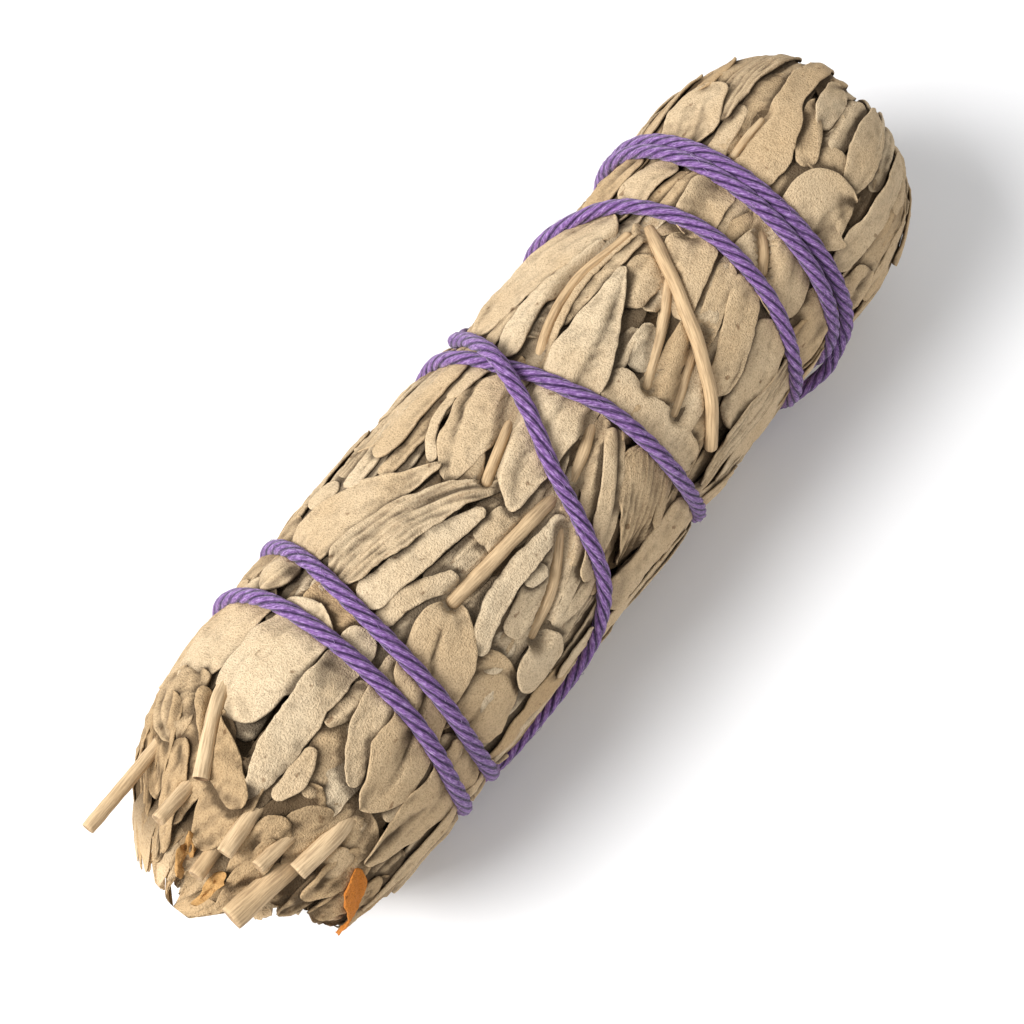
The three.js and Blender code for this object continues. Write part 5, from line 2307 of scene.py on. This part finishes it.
@dataclass(frozen=True)
class CottonFinish:
    """Soft cotton thread: fine fibres that run along the plies, and painted shade in the grooves
    between them.
    """

    name: str
    pale: Colour
    body: Colour
    dark: Colour
    relief: float = 0.22 * MM

    def make(self) -> Material:
        """Builds the material.

        Returns:
            The material.
        """
        tree = Tree(self.name)
        place, along = tree.object_place(), tree.surface_place()
        tint, groove, _ = tree.painted()
        fibres = tree.noise(tree.stretched(along, (1.3, 6.5, 1.0)), 1.0, 3, 0.6)
        fluff = tree.noise(place, 2600, 2)
        colour = tree.mix(fibres.over(0.22, 0.52), linear(*self.dark), linear(*self.body))
        colour = tree.mix(fibres.over(0.5, 0.7) * 0.55, colour, linear(*self.pale))
        colour = tree.mix(fluff.over(0.5, 0.34) * 0.22, colour, linear(*self.dark))
        # Painted shade in the grooves between plies.
        colour = tree.mix(groove.over(0.05, 0.6) * 0.92, colour, linear(*self.dark))
        colour = tree.mix(tint.over(0.55, 1.0) * 0.5, colour, linear(*self.pale))
        normal = tree.bump(fibres * 1.0 + fluff * 0.7, self.relief, 0.9)
        return tree.surface(
            Base_Color=colour,
            Roughness=0.9,
            Normal=normal,
            Specular_IOR_Level=0.1,
            Sheen_Weight=0.25,
        )


@dataclass(frozen=True)
class PlainFinish:
    """The floor's pale paper."""

    name: str
    colour: Colour

    def make(self) -> Material:
        """Builds the material.

        Returns:
            The material.
        """
        colour = linear(*self.colour)
        return Tree(self.name).surface(Base_Color=colour, Roughness=1.0, Specular_IOR_Level=0.0)


@dataclass
class Studio:
    """Pale floor, soft light and the camera at the photograph's angle."""

    azimuth: float = -52.2
    elevation: float = 67.7
    distance: float = 203.05
    lens: float = 66.8
    sensor: float = 36.0
    aim: tuple[float, float, float] = (-3.23, -0.36, 15.03)
    floor_half: float = 3.0
    key_power: float = 8.9
    fill_power: float = 0.3
    sky: float = 0.6

    def axes(self) -> tuple[Vector, Vector, Vector]:
        """Finds how the camera is turned.

        Returns:
            Its right, up and back directions.
        """
        a, e = math.radians(self.azimuth), math.radians(self.elevation)
        back = Vector((math.sin(a) * math.cos(e), -math.cos(a) * math.cos(e), math.sin(e)))
        right = Vector((math.cos(a), math.sin(a), 0))
        return right, back.cross(right), back

    def camera(self) -> None:
        """Adds the camera."""
        right, up, back = self.axes()
        data = bpy.data.cameras.new("camera")
        data.lens = self.lens
        data.sensor_width = self.sensor
        data.clip_start = 0.01
        data.clip_end = 20
        camera = bpy.data.objects.new("camera", data)
        bpy.context.scene.collection.objects.link(camera)
        place = (Vector(self.aim) + back * self.distance) * MM
        turn = Matrix((right, up, back)).transposed().to_4x4()
        camera.matrix_world = Matrix.Translation(place) @ turn
        bpy.context.scene.camera = camera

    def area(self, name: str, way: Vector, distance: float, size: float, power: float) -> None:
        """Adds a soft light.

        Args:
            name: its name.
            way: direction from the bunch.
            distance: metres away.
            size: its side in metres.
            power: watts.
        """
        data = bpy.data.lights.new(name, "AREA")
        data.size = size
        data.energy = power
        lamp = bpy.data.objects.new(name, data)
        bpy.context.scene.collection.objects.link(lamp)
        way = way.normalized()
        turn = way.to_track_quat("Z", "Y").to_matrix().to_4x4()
        lamp.matrix_world = Matrix.Translation(way * distance) @ turn

    def build(self, floor_finish: Material) -> None:
        """Adds floor, lights, world and camera.

        Args:
            floor_finish: the floor's material.
        """
        mesh = bpy.data.meshes.new("floor")
        half = self.floor_half
        corners = [(x * half, y * half, 0) for x, y in ((-1, -1), (1, -1), (1, 1), (-1, 1))]
        mesh.from_pydata(corners, [], [(0, 1, 2, 3)])
        mesh.materials.append(floor_finish)
        floor = bpy.data.objects.new("floor", mesh)
        bpy.context.scene.collection.objects.link(floor)
        floor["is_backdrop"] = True
        right, up, back = self.axes()
        key_way = -0.7 * right + 0.02 * up + 0.72 * back
        fill_way = 0.8 * right - 0.3 * up + 0.6 * back
        self.area("key", key_way, distance=0.8, size=0.4, power=self.key_power)
        self.area("fill", fill_way, distance=0.9, size=0.6, power=self.fill_power)
        world = bpy.data.worlds.new("studio")
        world.use_nodes = True
        ground = world.node_tree.nodes["Background"]
        ground.inputs[0].default_value = (1, 1, 1, 1)
        ground.inputs[1].default_value = self.sky
        bpy.context.scene.world = world
        bpy.context.scene.view_settings.view_transform = "Standard"
        self.camera()


def write_sizes(before: Any, after: Any) -> None:
    """Puts the frame's box and the dressed box side by side as plain lists, then drops them.

    Args:
        before: the frame's box.
        after: the box with the pieces.
    """

    def plain(box: Any) -> list[list[float]]:
        """A box as plain lists."""
        return [[float(c) for c in corner] for corner in box]

    {"cad": plain(before), "visual": plain(after)}


def main() -> None:
    """Builds the bunch round its frame, piece by piece."""
    logging.basicConfig(level=logging.INFO, format="%(name)s: %(message)s")
    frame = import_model()
    LOG.info("frame of %d nodes", len(frame["nodes"]))
    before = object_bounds()
    # The last colour of each leaf finish is its painted shade colour.
    sage = LeafFinish(
        "felted_sage", (238, 219, 187), (195, 163, 120), (98, 61, 26), (34, 17, 6)
    ).make()
    straw = StrawFinish("straw", (218, 192, 154), (194, 162, 120), (98, 70, 44)).make()
    rust = LeafFinish(
        "rust_leaf_dry", (214, 138, 60), (190, 108, 42), (112, 58, 22), (50, 24, 8)
    ).make()
    golden = LeafFinish(
        "golden_leaf_dry", (206, 166, 108), (176, 128, 74), (108, 72, 38), (50, 32, 12)
    ).make()
    cotton = CottonFinish("purple_cotton", (208, 182, 226), (132, 94, 156), (36, 18, 52)).make()
    paper = PlainFinish("pale_floor", (244, 244, 245)).make()
    stems = Stems()
    thread = BindingThread()
    stems.build(straw)
    thread.build(cotton)
    Foliage(stems, thread).build(sage)
    LooseLeaves().build(rust, golden)
    Studio().build(paper)
    write_sizes(before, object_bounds())


if __name__ == "__main__":
    main()
